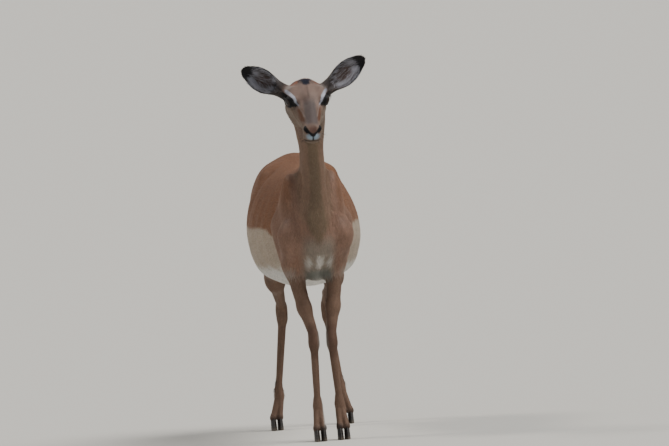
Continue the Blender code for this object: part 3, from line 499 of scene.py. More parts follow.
# Each line lies on the left side and is mirrored to the right. It has a width, and a depth that is negative
# where the line stands up. The first four numbers of a lid's line are half its length and height, and
# its ends.
LIDS = (
    (0.0172, 0.0128, -10, 190, 0.0018, -0.0012),
    (0.0168, 0.0122, 190, 350, 0.0016, -0.0008),
    (0.0178, 0.0166, 20, 160, 0.0013, 0.0011),
)
MOUTH = ((0.0005, 0.158, -0.0195), (0.010, 0.155, -0.0215), (0.020, 0.146, -0.0250), (0.026, 0.122, -0.0300),
         (0.0275, 0.096, -0.0345))                # from the middle of the lips back to their corner
FACE_LINES = (
    # tear groove, wing of the nostril and mouth
    (((0.046, 0.022, -0.004), (0.037, 0.040, -0.012)), 0.0024, 0.0016),
    (((0.0260, 0.128, 0.010), (0.0250, 0.138, -0.002), (0.018, 0.148, -0.010)), 0.0030, -0.0012),
    (MOUTH, 0.0013, 0.0034),
    # edge of the jaw, hollow below the cheek bone and side of the bridge
    (((0.020, 0.100, -0.052), (0.026, 0.060, -0.062), (0.034, 0.020, -0.078)), 0.005, -0.0014),
    (((0.040, 0.050, -0.016), (0.033, 0.095, -0.020)), 0.007, 0.0016),
    (((0.020, 0.012, 0.040), (0.016, 0.050, 0.036)), 0.008, 0.0010),
)
NOSE_LINE = (((0, 0.160, 0.004), (0, 0.158, -0.010), (0, 0.154, -0.026)), 0.0012, 0.0026)
BODY_LINES = (
    # hollows behind the shoulder and before the thigh
    (((0.060, 0.110, 0.800), (0.105, 0.112, 0.700), (0.108, 0.105, 0.590)), 0.022, 0.006),
    (((0.095, 0.400, 0.815), (0.150, 0.400, 0.720), (0.165, 0.420, 0.620)), 0.030, 0.007),
    # edge of the shoulder and the groove before it, and two muscles of the neck
    (((0.046, -0.030, 0.820), (0.074, -0.075, 0.730), (0.086, -0.090, 0.640)), 0.012, -0.0030),
    (((0.040, -0.075, 0.830), (0.056, -0.108, 0.740), (0.058, -0.118, 0.660)), 0.010, 0.0040),
    (((0.026, -0.160, 0.900), (0.030, -0.140, 0.800), (0.022, -0.130, 0.690)), 0.012, -0.0022),
    (((0.030, -0.100, 0.950), (0.042, -0.060, 0.870), (0.056, -0.010, 0.810)), 0.012, -0.0020),
    # ribs
    (((0.128, 0.180, 0.790), (0.155, 0.190, 0.660), (0.140, 0.170, 0.560)), 0.014, -0.0016),
    (((0.140, 0.240, 0.780), (0.168, 0.250, 0.650), (0.150, 0.235, 0.550)), 0.014, -0.0016),
    (((0.148, 0.300, 0.780), (0.176, 0.310, 0.650), (0.158, 0.300, 0.545)), 0.014, -0.0016),
)


def lid_arc(eye, side, long, high, start, end, count=9):
    """Points along a lid: an arc round the eye's opening, long along the face and high across it."""
    look = unit(sided(side, EYE_LOOK))
    ahead = np.array((0.0, 1.0, -0.12))
    ahead = unit(ahead - look * (look @ ahead))
    above = np.cross(look, ahead) * side
    points = []
    for angle in np.radians(np.linspace(start, end, count)):
        flat = ahead * long * math.cos(angle) + above * high * math.sin(angle)
        depth = math.sqrt(max((EYE_RADIUS + 0.0015) ** 2 - flat @ flat, 0.00002))
        points.append(eye + look * depth + flat)
    return points


def face_details(head):
    """Lids, tear groove, nostril wings, mouth, jaw and the middle line of the nose."""
    found = []
    for side in (-1, 1):
        for *arc, width, depth in LIDS:
            found.append(head.crease(lid_arc(sided(side, EYE_PLACE), side, *arc), width, depth))
        found += [head.crease(sided(side, line), width, depth) for line, width, depth in FACE_LINES]
    return found + [head.crease(*NOSE_LINE)]


def body_details():
    """Folds and hollows of the body, and the grooves beside the tendons of the legs."""
    found = [Crease(sided(side, line), width, depth) for side in (-1, 1) for line, width, depth in BODY_LINES]
    for joints in (*FORELEGS.values(), *HINDLEGS.values()):
        knee, fetlock = np.array(joints[1:3])
        for edge in (-1, 1):
            start, end = knee + (edge * 0.012, 0.008, -0.035), fetlock + (edge * 0.011, 0.005, 0.030)
            found.append(Crease((start, end), 0.0028, 0.0012))
    return found


def coat_depth(z):
    """How far the skin lies inside the tips of the coat, by height: least on head and feet."""
    return 0.0007 + 0.0026 * ramp(z, 0.40, 0.56) - 0.0026 * ramp(z, 0.90, 1.00)


def ramp(value, start, end):
    share = np.clip((value - start) / (end - start), 0, 1)
    return share * share * (3 - 2 * share)


def skin_forms():
    head = head_frame()
    forms = trunk_forms() + neck_forms()
    for name, side in (("right", -1), ("left", 1)):
        forms += foreleg_forms(side, *FORELEGS[name]) + hindleg_forms(side, *HINDLEGS[name])
    forms += head_forms(head)
    for side in (-1, 1):
        forms += ear_forms(ear_frame(head, side), EAR_THICKNESS)
    forms += tail_forms()
    return forms + [crease.laid_on(forms) for crease in face_details(head) + body_details()]


# --- meshing ---

SLOPE_REACH, LONGEST_STEP = 0.0004, 0.002         # on either side of a point, and towards the surface
SKIN_TRIANGLES = 186000
HEAD_LEVEL, LEG_LEVEL = 0.93, 0.52                # heights below which the neck and the legs begin


def steps(spans):
    """Grid lines from (start, end, step) spans laid end to end."""
    lines = [np.arange(start, end - step / 2, step) for start, end, step in spans]
    return np.concatenate(lines + [[spans[-1][1]]])


def on_grid(forms, x, y, z):
    found = np.full((len(x), len(y), len(z)), FAR, np.float32)
    for form in forms:
        i, j, k = (slice(*np.searchsorted(lines, (form.low[axis], form.high[axis])))
                   for axis, lines in enumerate((x, y, z)))
        values = form.measure(x[i, None, None], y[None, j, None], z[None, None, k])
        found[i, j, k] = form.apply(found[i, j, k], values)
    return found + coat_depth(z).astype(np.float32)[None, None, :]


def at_points(forms, points):
    found = np.full(len(points), FAR)
    for form in forms:
        near = np.flatnonzero(((points > form.low) & (points < form.high)).all(1))
        x, y, z = points[near].T
        found[near] = form.apply(found[near], form.measure(x, y, z))
    return found + coat_depth(points[:, 2])


def slope_at(forms, points):
    return np.stack([at_points(forms, points + step) - at_points(forms, points - step)
                     for step in np.eye(3) * SLOPE_REACH], 1) / (2 * SLOPE_REACH)


def normals_at(forms, points):
    return unit(slope_at(forms, points))


def settle(forms, points, rounds=2):
    """Moves points onto the field's surface, each along the field's slope."""
    for _ in range(rounds):
        slope = slope_at(forms, points)
        steep = np.maximum((slope ** 2).sum(1), 0.25)
        step = np.clip(at_points(forms, points) / steep, -LONGEST_STEP, LONGEST_STEP)
        points = points - step[:, None] * slope
    return points


def new_mesh(name, points, faces, smooth=True):
    """A mesh from arrays: points (n, 3) and faces (m, 3 or 4)."""
    points, faces = np.asarray(points, np.float32), np.asarray(faces, np.int32)
    mesh = bpy.data.meshes.new(name)
    mesh.vertices.add(len(points))
    mesh.vertices.foreach_set("co", points.ravel())
    mesh.loops.add(faces.size)
    mesh.loops.foreach_set("vertex_index", faces.ravel())
    mesh.polygons.add(len(faces))
    mesh.polygons.foreach_set("loop_start", np.arange(len(faces), dtype=np.int32) * faces.shape[1])
    mesh.polygons.foreach_set("use_smooth", np.full(len(faces), smooth))
    mesh.update(calc_edges=True)
    return mesh


def new_object(name, mesh):
    made = bpy.data.objects.new(name, mesh)
    bpy.context.scene.collection.objects.link(made)
    return made


def positions(mesh):
    found = np.empty(len(mesh.vertices) * 3, np.float32)
    mesh.vertices.foreach_get("co", found)
    return found.reshape(-1, 3).astype(float)


def triangles_of(mesh):
    mesh.calc_loop_triangles()
    found = np.empty(len(mesh.loop_triangles) * 3, np.int32)
    mesh.loop_triangles.foreach_get("vertices", found)
    return found.reshape(-1, 3)


def skin_mesh(forms):
    x = steps([(-0.220, -0.078, 0.0024), (-0.078, 0.078, 0.0017), (0.078, 0.220, 0.0024)])
    y = steps([(-0.44, -0.115, 0.0017), (-0.115, 0.86, 0.0044)])
    z = steps([(0.0, 0.14, 0.0024), (0.14, 0.93, 0.0040), (0.93, 1.24, 0.0018)])
    grid = openvdb.FloatGrid(FAR)
    grid.copyFromArray(on_grid(forms, x, y, z))
    points, quads = grid.convertToQuads(0.0)
    placed = [np.interp(points[:, axis], np.arange(len(lines)), lines)
              for axis, lines in enumerate((x, y, z))]
    points = settle(forms, np.stack(placed, 1))
    points, quads = largest_body(points, quads[:, ::-1])
    made = new_object("rough", new_mesh("rough", points, quads))
    plain = made.vertex_groups.new(name="plain")
    weight = plainness(points)
    for level in np.unique(weight):
        plain.add(np.flatnonzero(weight == level).tolist(), float(level), "REPLACE")
    thin = made.modifiers.new("thin", "DECIMATE")
    thin.ratio = SKIN_TRIANGLES / (2 * len(quads))
    thin.vertex_group, thin.vertex_group_factor = plain.name, 1.0
    mesh = bpy.data.meshes.new_from_object(made.evaluated_get(bpy.context.evaluated_depsgraph_get()))
    bpy.data.objects.remove(made)
    triangles = triangles_of(mesh)
    return new_mesh("skin", settle(forms, positions(mesh)), triangles)


def plainness(points):
    """How readily a place gives up its faces: face and ears keep the finest, the trunk the coarsest."""
    z = points[:, 2]
    found = np.where(z > HEAD_LEVEL, 0.50, 0.755)
    found[(z > LEG_LEVEL) & (z < HEAD_LEVEL)] = 0.86
    return found


def largest_body(points, faces):
    """The faces of the largest connected body, with the points they use."""
    label = np.arange(len(points))
    while True:
        lowest = label[faces].min(1)
        before = label.copy()
        for corner in range(faces.shape[1]):
            np.minimum.at(label, faces[:, corner], lowest)
        label = label[label]
        if (label == before).all():
            break
    kept = label[faces[:, 0]] == np.bincount(label).argmax()
    used, faces = np.unique(faces[kept], return_inverse=True)
    return points[used], faces.reshape(-1, 4)


# --- markings, and shade painted under the chest and inside the ears ---

SADDLE, SHOULDER, FLANK = (0.215, 0.100, 0.052), (0.262, 0.155, 0.112), (0.42, 0.340, 0.265)
BELLY, BRISKET, NECK = (0.66, 0.64, 0.60), (0.250, 0.205, 0.165), (0.180, 0.126, 0.084)
LEG, LEG_INNER, KNEE = (0.182, 0.112, 0.079), (0.36, 0.28, 0.21), (0.118, 0.066, 0.046)
# painted shade: the white under the chest, coloured the greenish grey it looks in shade
UNDER_CHEST_SHADE = (0.17, 0.175, 0.155)
HAUNCH = (0.300, 0.175, 0.105)
FACE, FOREHEAD, BRIDGE = (0.205, 0.135, 0.105), (0.212, 0.145, 0.120), (0.100, 0.076, 0.072)
CHEEK, NOSE_SIDE = (0.180, 0.128, 0.095), (0.120, 0.048, 0.024)
WHITE, BLACK, NEAR_BLACK = (0.66, 0.64, 0.60), (0.010, 0.009, 0.010), (0.036, 0.027, 0.025)
EAR_BACK, EAR_INSIDE, EAR_DEEP = (0.200, 0.125, 0.080), (0.30, 0.30, 0.34), (0.070, 0.044, 0.036)
CROWN_RIM, CROWN, EYE_PATCH = (0.260, 0.092, 0.050), (0.014, 0.016, 0.030), (0.010, 0.009, 0.010)
BROW, LIP, CHIN = (0.46, 0.47, 0.55), (0.28, 0.355, 0.43), (0.110, 0.104, 0.086)
PALE_HAIR, NOSE_TOP, PALE_EAR_HAIR = (0.36, 0.33, 0.31), (0.120, 0.062, 0.050), (0.45, 0.45, 0.51)
SPINE, FOREHEAD_LINE = np.array(SADDLE) * 0.55, np.array(FOREHEAD) * 0.55

# Strokes on the face, for each side, by side and height as seen from in front: colour, line, radius,
# softness and strength. The height rises with up and falls with forward, as the head is held.
FACE_RUN, FACE_RISE = 0.719, 0.695
CHEEK_STROKES = (
    (NOSE_SIDE, ((0.0290, -0.030), (0.0245, -0.060)), 0.0062, 0.009, 0.9),
)
FACE_STROKES = (
    (PALE_HAIR, ((0.0300, -0.020), (0.0190, -0.052)), 0.0018, 0.004, 0.30),
    (FOREHEAD_LINE, ((0.0, 0.040), (0.0, 0.008)), 0.0026, 0.007, 0.75),
    (PALE_HAIR, ((0.042, 0.052), (0.058, 0.040)), 0.0055, 0.010, 0.5),
)
CROWN_STROKES = (
    (CROWN, ((0.0, 0.0605), (0.0185, 0.0600)), 0.0042, 0.005, 1.0),
    (CROWN, ((0.0, 0.0540), (0.0060, 0.0555)), 0.0058, 0.006, 1.0),
    # the black between ear and eye
    (EYE_PATCH, ((0.0740, 0.0215), (0.0570, 0.0035), (0.0415, -0.0090)), 0.0098, 0.004, 1.0),
    (EYE_PATCH, ((0.0760, 0.0120), (0.0600, -0.0060), (0.0540, -0.0130)), 0.0070, 0.004, 1.0),
)
BROW_STROKES = (
    (BROW, ((0.0600, 0.0310), (0.0530, 0.0220), (0.0450, 0.0110)), 0.0046, 0.0035, 1.0),
    (BROW, ((0.0450, 0.0110), (0.0385, -0.0030)), 0.0032, 0.003, 1.0),
    (BROW, ((0.0385, -0.0030), (0.0320, -0.0150)), 0.0018, 0.003, 0.6),
)
NOSTRIL = ((0.0250, 0.130, 0.012), (0.0165, 0.142, 0.006), (0.0030, 0.152, -0.001))


def wander(points, scale, seed=0.0):
    """A smooth irregular value between about -1 and 1, for edges that are not ruled."""
    x, y, z = (points * scale).T
    return (np.sin(x * 1.3 + y * 2.1 + seed) + np.sin(y * 1.7 - z * 2.3 + seed * 2 + 1.7)
            + np.sin(z * 1.9 + x * 2.7 - seed + 4.1)) / 3


def paint(colours, colour, weight):
    return colours + (np.array(colour) - colours) * np.clip(weight, 0, 1)[:, None]


def painted(colours, *coats):
    """Colours with one coat after another over them, each a colour and how much of it."""
    for colour, weight in coats:
        colours = paint(colours, colour, weight)
    return colours


def from_line(points, line):
    """Distance of points from a line through a few points."""
    found = np.full(len(points), np.inf)
    line = np.array(line, float)
    for start, end in zip(line, line[1:]):
        run = end - start
        t = np.clip((points - start) @ run / (run @ run), 0, 1)
        found = np.minimum(found, np.linalg.norm(points - start - t[:, None] * run, axis=1))
    return found


def stroke(points, line, radius, soft):
    """How much a point lies in a stroke along a line: 1 inside its radius, 0 beyond its soft edge."""
    return 1 - ramp(from_line(points, line), radius - soft / 2, radius + soft / 2)


def body_markings(points, normals):
    x, y, z = points.T
    side = np.abs(x)
    loose = wander(points, 60) * 0.004 + wander(points, 170, 2.0) * 0.002
    belly = ramp(0.540 - 0.05 * ramp(y, 0.45, 0.60) - z + loose * 2, -0.012, 0.016)
    saddle_edge = 0.664 - 0.03 * ramp(y, 0.20, 0.08) + 0.02 * ramp(y, 0.45, 0.60)
    saddle = ramp(z + loose, saddle_edge - 0.005, saddle_edge + 0.005)
    spine = ramp(z, 0.835, 0.870) * ramp(0.030 - side, -0.012, 0.012)
    shoulder = ramp(0.105 + 0.10 * (z - 0.60) - y + loose, -0.016, 0.016) * ramp(side, 0.030, 0.055)
    haunch = ramp(y + 0.30 * (z - 0.60) + loose, 0.440, 0.600) * ramp(side, 0.045, 0.070)
    legs = ramp(0.555 - z, 0.0, 0.05) * np.maximum(ramp(-y, -0.13, -0.10), ramp(y, 0.40, 0.46))
    inner = ramp(-np.sign(x) * normals[:, 0], 0.20, 0.80) * ramp(normals[:, 1], -0.20, 0.40)
    return painted(
        np.tile(FLANK, (len(points), 1)),
        (BELLY, belly),
        (SADDLE, saddle),
        (SPINE, spine * 0.6),
        (SHOULDER, shoulder * ramp(z, 0.50, 0.56)),
        (SADDLE, shoulder * ramp(z, 0.68, 0.80) * 0.7),
        (HAUNCH, haunch * ramp(z, 0.46, 0.56) * ramp(0.70 - z, -0.06, 0.06)),
        (LEG, legs * ramp(side, 0.012, 0.020)),
        (LEG_INNER, legs * inner * ramp(z, 0.10, 0.25) * 0.8))


def front_markings(found, points, normals):
    """Breast, brisket and neck, and the white under the chest painted in shade."""
    x, y, z = points.T
    side = np.abs(x - 0.004)
    loose = wander(points, 80, 1.0) * 0.004
    front = ramp(0.06 - y, -0.02, 0.03)
    breast = front * ramp(0.072 - side + loose, -0.008, 0.010) * ramp(z, 0.50, 0.54)
    brisket = breast * ramp(0.645 - z + loose, -0.020, 0.040) * ramp(0.050 - side, -0.016, 0.020)
    found = painted(found, (SHOULDER, breast), (BRISKET, brisket))
    for middle, reach in ((-0.034, 0.010), (0.004, 0.015), (0.042, 0.009)):
        across = np.hypot(x - middle, (z - 0.562) * 0.6)
        found = paint(found, WHITE, breast * ramp(reach - across + loose, -0.006, 0.008) * 0.65)
    # the underside of the chest between the forelegs, where the shade is painted
    under = front * ramp(0.538 - z + loose, -0.006, 0.006) * ramp(0.040 - side, -0.010, 0.010)
    column = 0.010 + 0.42 * np.clip(z - 0.625, 0, 0.095) + 0.06 * ramp(z, 0.83, 0.88)
    neck = ramp(column - side + loose, -0.008, 0.010) * ramp(0.02 - y + 0.55 * (z - 0.86), -0.05, 0.02)
    neck = neck * ramp(z, 0.605, 0.640)
    nape = ramp(y + 0.42 * (1.05 - z), 0.03, 0.10) * ramp(z, 0.80, 0.86)
    return painted(
        found,
        # painted shade: the white under the chest darkened to its colour in shade
        (UNDER_CHEST_SHADE, under * ramp(z, 0.490, 0.515)),
        (NECK, neck),
        (SHOULDER, neck * ramp(np.abs(normals[:, 0]), 0.45, 0.85) * 0.55),
        (SADDLE, nape * ramp(-normals[:, 1], 0.5, -0.2)))


def leg_markings(found, points):
    """Dark knees and coronets, and the black patches above the hind fetlocks."""
    loose = wander(points, 120, 3.0) * 0.004
    for legs in (FORELEGS, HINDLEGS):
        for joints in legs.values():
            (joint, fetlock), hoof = np.array(joints[1:3]), joints[3]
            if legs is FORELEGS:
                line = (joint + (0, -0.02, 0.035), joint + (0, -0.02, -0.03))
                found = paint(found, KNEE, stroke(points, line, 0.026, 0.02) * 0.75)
            else:
                line = (fetlock + (0, 0.014, 0.045), fetlock + (0, 0.016, -0.002))
                found = paint(found, BLACK, stroke(points + loose[:, None], line, 0.017, 0.008))
            near = np.hypot(points[:, 0] - hoof[0], points[:, 1] - hoof[1]) < 0.07
            found = paint(found, NEAR_BLACK, ramp(0.052 - points[:, 2] + loose, -0.004, 0.012) * near * 0.6)
    return found


def rump_markings(found, points, normals):
    """White buttocks between two black stripes, and the tail with its black line."""
    x, y, z = points.T
    side = np.abs(x)
    loose = wander(points, 70, 5.0) * 0.004
    rear = ramp(y, 0.655, 0.690) * ramp(normals[:, 1], -0.05, 0.25)
    stripe_place = 0.060 + 0.22 * np.clip(0.70 - z, 0, 0.14)
    buttock = ramp(stripe_place - side + loose, -0.004, 0.004) * ramp(z, 0.44, 0.54)
    stripe = ramp(0.0115 - np.abs(side - stripe_place - 0.006) + loose, -0.003, 0.004)
    tail = ramp(0.032 - side, -0.003, 0.003) * ramp(y - 0.06 * (z - 0.77), 0.735, 0.750)
    tail_line = ramp(normals[:, 1], 0.35, 0.75) * ramp(0.010 - side + loose * 0.5, -0.003, 0.003)
    return painted(
        found,
        (WHITE, rear * buttock * ramp(0.815 - z, -0.008, 0.012)),
        (BLACK, rear * stripe * ramp(z, 0.585, 0.625) * ramp(0.800 - z, -0.01, 0.015)),
        (WHITE, tail),
        (BLACK, tail * tail_line))


def face_markings(found, points, head):
    place = np.stack(head.local(*points.T), 1)
    side, forward, up = np.abs(place[:, 0]), place[:, 1], place[:, 2]
    mirrored = np.stack((side, forward, up), 1)
    loose = wander(points, 160, 7.0) * 0.0014
    on_head = ramp(forward + 0.9 * up + loose * 4, -0.185, -0.110) * ramp(points[:, 2], 0.93, 0.96)
    front = np.stack((side, FACE_RISE * up - FACE_RUN * forward), 1) + loose[:, None]
    in_view = on_head * ramp(up, -0.030, -0.014)

    def stroked(strokes):
        return [(colour, stroke(front, line, radius, soft) * weight * in_view)
                for colour, line, radius, soft, weight in strokes]

    forehead = ramp(0.055 - forward, -0.02, 0.02) * ramp(up, -0.010, 0.012)
    cheek = ramp(0.004 - up, -0.012, 0.010) * ramp(side, 0.012, 0.026)
    jaw = ramp(-0.056 - up, -0.006, 0.014) * ramp(0.016 - side, -0.006, 0.010) * ramp(up, -0.105, -0.088)
    bridge = (ramp(up, -0.006, 0.004) * ramp(0.0175 - side + loose, -0.006, 0.004)
              * ramp(forward, 0.010, 0.050) * ramp(0.128 - forward, -0.008, 0.012))
    crown_rim = stroke(front, ((0.0, 0.0660), (0.020, 0.0620), (0.044, 0.0520)), 0.0040, 0.004)
    eye_rim = np.linalg.norm(mirrored - np.array(EYE_PLACE) - np.array(EYE_LOOK) * 0.012, axis=1)
    lip = ramp(forward, 0.118, 0.132) * ramp(-0.001 - up, -0.002, 0.004) * ramp(up, -0.0205, -0.0115)
    nose_top = ramp(forward, 0.128, 0.140) * ramp(0.011 - side, -0.003, 0.003) * ramp(up, -0.002, 0.002)
    parting = (ramp(0.0026 - side, -0.0010, 0.0012) * ramp(forward, 0.140, 0.146) * ramp(0.004 - up, 0, 0.002)
               * ramp(up, -0.022, -0.018))
    chin = (ramp(-0.0225 - 0.15 * side - 0.2 * (0.15 - forward) - up, -0.002, 0.003)
            * ramp(forward, 0.09, 0.115))
    lips = stroke(mirrored[:, [0, 2]], np.array(MOUTH)[:, [0, 2]], 0.0036, 0.0024)
    return painted(
        found,
        (FACE, on_head),
        (FOREHEAD, on_head * forehead),
        (CHEEK, on_head * cheek),
        (WHITE, on_head * jaw * 0.5),
        *stroked(CHEEK_STROKES),
        (BRIDGE, on_head * bridge),
        *stroked(FACE_STROKES),
        (CROWN_RIM, crown_rim * 0.9 * ramp(up, 0.003, 0.012) * in_view),
        *stroked(CROWN_STROKES),
        (EYE_PATCH, ramp(0.0175 - eye_rim, -0.0012, 0.0012)),
        *stroked(BROW_STROKES),
        (LIP, lip * ramp(0.0215 - side, -0.004, 0.010)),
        (NOSE_TOP, nose_top * 0.8),
        (BLACK, stroke(mirrored, NOSTRIL[:2], 0.0068, 0.0025)),
        (BLACK, stroke(mirrored, NOSTRIL[1:], 0.0050, 0.0025)),
        (BLACK, parting),
        (CHIN, on_head * chin),
        (BLACK, lips * ramp(forward, 0.092, 0.100) * on_head))


def ear_share(place):
    """A point's angle from the middle of an ear's back, its edge's angle there and its bowl's radius."""
    across, outward, facing = place.T
    along = [share * EAR_LENGTH for share in EAR_ALONG]
    radius = np.interp(outward, along, EAR_CURL)
    spine = np.interp(outward, along, EAR_SPINE)
    edge = np.interp(outward, along, np.radians(EAR_SPREAD))
    return np.arctan2(across, spine + radius - facing), edge, radius


def ear_markings(found, points, normals, ear, side):
    """An ear: fawn behind, pale inside with dark streaks and a painted shadow towards one edge, black round
    its rim and at its tip.
    """
    place = np.stack(ear.local(*points.T), 1)
    across, outward, facing = place.T
    reach = ramp(outward, 0.010, 0.022) * ((outward < EAR_LENGTH + 0.012) & (np.abs(across) < 0.055)
                                           & (np.abs(facing - 0.012) < 0.045))
    angle, edge, radius = ear_share(place)
    loose = wander(points, 150, 9.0) * 0.003
    inside = ramp(normals @ ear.axes[2], -0.1, 0.25) * reach
    streaks = 0.5 + 0.5 * np.sin(angle * 7 + np.sin(outward * 60 + side) * 1.3 + 0.8)
    deep = ramp(0.028 - np.hypot(outward - 0.085, across * 1.3), -0.012, 0.010)
    root = ramp(0.050 - outward - across * 0.4, -0.010, 0.008) * ramp(normals @ ear.axes[2], -0.3, 0.2)
    near = (outward > -0.02) & (np.abs(across) < 0.04) & (np.abs(facing) < 0.05) & (points[:, 2] > 1.0)
    from_edge = (edge - np.abs(angle)) * radius
    rim = ramp(0.0072 + 0.004 * ramp(outward, 0.10, 0.14) - from_edge + loose, -0.003, 0.002)
    tip = ramp(outward + across * side * 0.10 + loose, EAR_LENGTH - 0.043, EAR_LENGTH - 0.027)
    return painted(
        found,
        (EAR_BACK, reach),
        (EAR_INSIDE, inside),
        (NEAR_BLACK, inside * streaks ** 2 * ramp(outward, 0.03, 0.05) * 0.9),
        (EAR_DEEP, inside * deep * 0.9),
        # painted shadow: darker inside the ear towards one edge, as if in the shade of its fold
        (NEAR_BLACK, inside * ramp(-across, 0.006, 0.020) * 0.55),
        (NEAR_BLACK, root * near * ramp(outward, -0.012, 0.010) * 0.95),
        (BLACK, reach * rim * ramp(outward, 0.030, 0.050)),
        (BLACK, reach * tip))


def markings(points, normals):
    """The colour of the coat at each point of the skin."""
    head = head_frame()
    found = body_markings(points, normals)
    found = front_markings(found, points, normals)
    found = leg_markings(found, points)
    found = rump_markings(found, points, normals)
    found = face_markings(found, points, head)
    for side in (-1, 1):
        found = ear_markings(found, points, normals, ear_frame(head, side), side)
    return found


# --- the coat ---

SEED = 7
MOST_TUFTS = 32000                                # in one piece
LOCK_RINGS = 2                                    # between the root and the tip of a longer lock
REGIONS = ("trunk", "neck", "head", "ear_right", "ear_left", "foreleg_right", "foreleg_left", "hindleg_right",
           "hindleg_left", "tail")
TRUNK, NECK_PART, HEAD, EAR_RIGHT, EAR_LEFT, FORE_RIGHT, FORE_LEFT, HIND_RIGHT, HIND_LEFT, TAIL = range(10)
COVER = np.array((0.95, 1.0, 1.1, 0.8, 0.8, 0.9, 0.9, 0.9, 0.9, 1.5))   # area of tufts per area of skin
SLOTS = ("body_coat", "body_coat", "face_coat", "ear_coat", "ear_coat", "leg_coat", "leg_coat", "leg_coat",
         "leg_coat", "tail_coat")
PATCH = 0.003                                     # a tuft's size on the unwrapped skin
UNWRAP_ROW, UNWRAP_MARGIN = 1.6, 0.012            # metres of skin across the unwrapped square
LASHES, WHISKERS = 64, 54                         # on each eye, and on the whole muzzle
SIDE_NAMES = {-1: "right", 1: "left"}


def region_of(points, head):
    """Which part of the animal each point belongs to."""
    x, y, z = points.T
    found = np.full(len(points), TRUNK)
    found[(z > 0.80) & (y < 0.0) | (z > 0.90) & (y < 0.10)] = NECK_PART
    _, forward, up = head.local(x, y, z)
    found[(z > HEAD_LEVEL) & (forward + 0.9 * up > -0.135)] = HEAD
    for region, sign in ((EAR_RIGHT, -1), (EAR_LEFT, 1)):
        outward = ear_frame(head, sign).local(x, y, z)[1]
        found[(outward > 0.020) & (z > 1.05) & (x * sign > 0.03)] = region
    fore, hind, left = (z < 0.50) & (y < 0.2), (z < 0.50) & (y > 0.44), x > 0
    for mask, region in ((fore & ~left, FORE_RIGHT), (fore & left, FORE_LEFT), (hind & ~left, HIND_RIGHT),
                         (hind & left, HIND_LEFT)):
        found[mask] = region
    found[(y > 0.738) & (np.abs(x) < 0.036) & (z > 0.48)] = TAIL
    return found


def hair_size(points, normals, regions, head):
    """Length, half width and lift of the tufts at each point."""
    x, y, z = points.T
    _, forward, up = head.local(x, y, z)
    length = np.full(len(points), 0.0135)
    length += 0.0050 * ramp(-normals[:, 2], 0.2, 0.7) * ramp(0.60 - z, 0.0, 0.05)             # belly
    length += 0.0050 * ramp(0.64 - z, 0.0, 0.06) * ramp(-y, -0.06, 0.0)                       # breast
    length += 0.0070 * ramp(y, 0.66, 0.70) * ramp(normals[:, 1], 0.2, 0.6)                    # buttocks
    face = (0.0056 - 0.0030 * ramp(forward, 0.06, 0.13) + 0.0030 * ramp(-up, 0.02, 0.06)
            + 0.0020 * ramp(-forward, 0.02, 0.06))
    leg = 0.0055 + 0.0050 * ramp(z, 0.25, 0.50)
    length = np.where(regions == NECK_PART, 0.0105, length)
    length = np.where(regions == HEAD, face, length)
    length = np.where((regions >= FORE_RIGHT) & (regions <= HIND_LEFT), leg, length)
    length = np.where((regions == EAR_RIGHT) | (regions == EAR_LEFT), 0.0062, length)
    length = np.where(regions == TAIL, 0.034, length)
    half_width = 0.00028 + 0.042 * length
    lift = np.minimum(0.14 * length, np.maximum(coat_depth(z) * 0.8, 0.0006))
    return length, half_width, np.where(regions == TAIL, 0.0050, lift)


def lie_of(points, normals, regions, head):
    """The way that the hair lies, along the surface."""
    x, y, z = points.T
    count = len(points)
    found = np.tile((0.0, 1.0, -0.38), (count, 1))
    for direction, weight in (((0.0, 0.50, -0.85), ramp(0.12 - y, 0.0, 0.08)),
                              ((0.0, 0.12, -1.0), ramp(-y, -0.02, 0.05)),
                              ((0.0, 0.45, -0.90), ramp(y, 0.50, 0.66)),
                              ((0.0, 1.0, 0.0), ramp(-normals[:, 2], 0.5, 0.9) * ramp(y, 0.06, 0.14)),
                              ((0.0, 0.10, -1.0), ramp(0.54 - z, 0.0, 0.08) * (np.abs(normals[:, 2]) < 0.8)),
                              ((0.0, 0.32, -1.0), regions == NECK_PART),
                              ((0.0, 0.02, -1.0), regions == TAIL)):
        found = paint(found, direction, weight)
    side, _, up = head.local(x, y, z)
    fall = -0.15 - 0.9 * ramp(-up, 0.0, 0.05)
    face = np.stack((0.10 * np.sign(side) + side * 3.0, np.full(count, -1.0), fall), 1)
    found = np.where((regions == HEAD)[:, None], face @ head.axes, found)
    for region, sign in ((EAR_RIGHT, -1), (EAR_LEFT, 1)):
        found[regions == region] = ear_frame(head, sign).axes[1]
    return along_surface(found, normals)


def along_surface(directions, normals):
    return unit(directions - normals * (directions * normals).sum(1, keepdims=True))


def turned(directions, normals, angles):
    """Directions turned about the normals."""
    return directions * np.cos(angles)[:, None] + np.cross(normals, directions) * np.sin(angles)[:, None]


def laid(forms, points, normals, height, most):
    """Points moved along the normals until they lie at a height above the skin."""
    for _ in range(2):
        gap = height - at_points(forms, points)
        points = points + normals * np.clip(gap, -most, most)[:, None]
    return points


def bare(points, head):
    """1 where no hair grows: eye openings, the wet end of the nose and inside the hooves."""
    side, forward, up = head.local(*points.T)
    place = np.stack((np.abs(side), forward, up), 1)
    eye = np.array(EYE_PLACE) + np.array(EYE_LOOK) * (EYE_RADIUS * 0.8)
    found = ramp(0.0135 - np.linalg.norm(place - eye, axis=1), -0.001, 0.001)
    nose = stroke(place, ((0.0, 0.155, 0.000), (0.012, 0.150, 0.004), (0.021, 0.139, 0.010)), 0.0062, 0.003)
    return np.maximum(np.maximum(found, nose), points[:, 2] < 0.036)


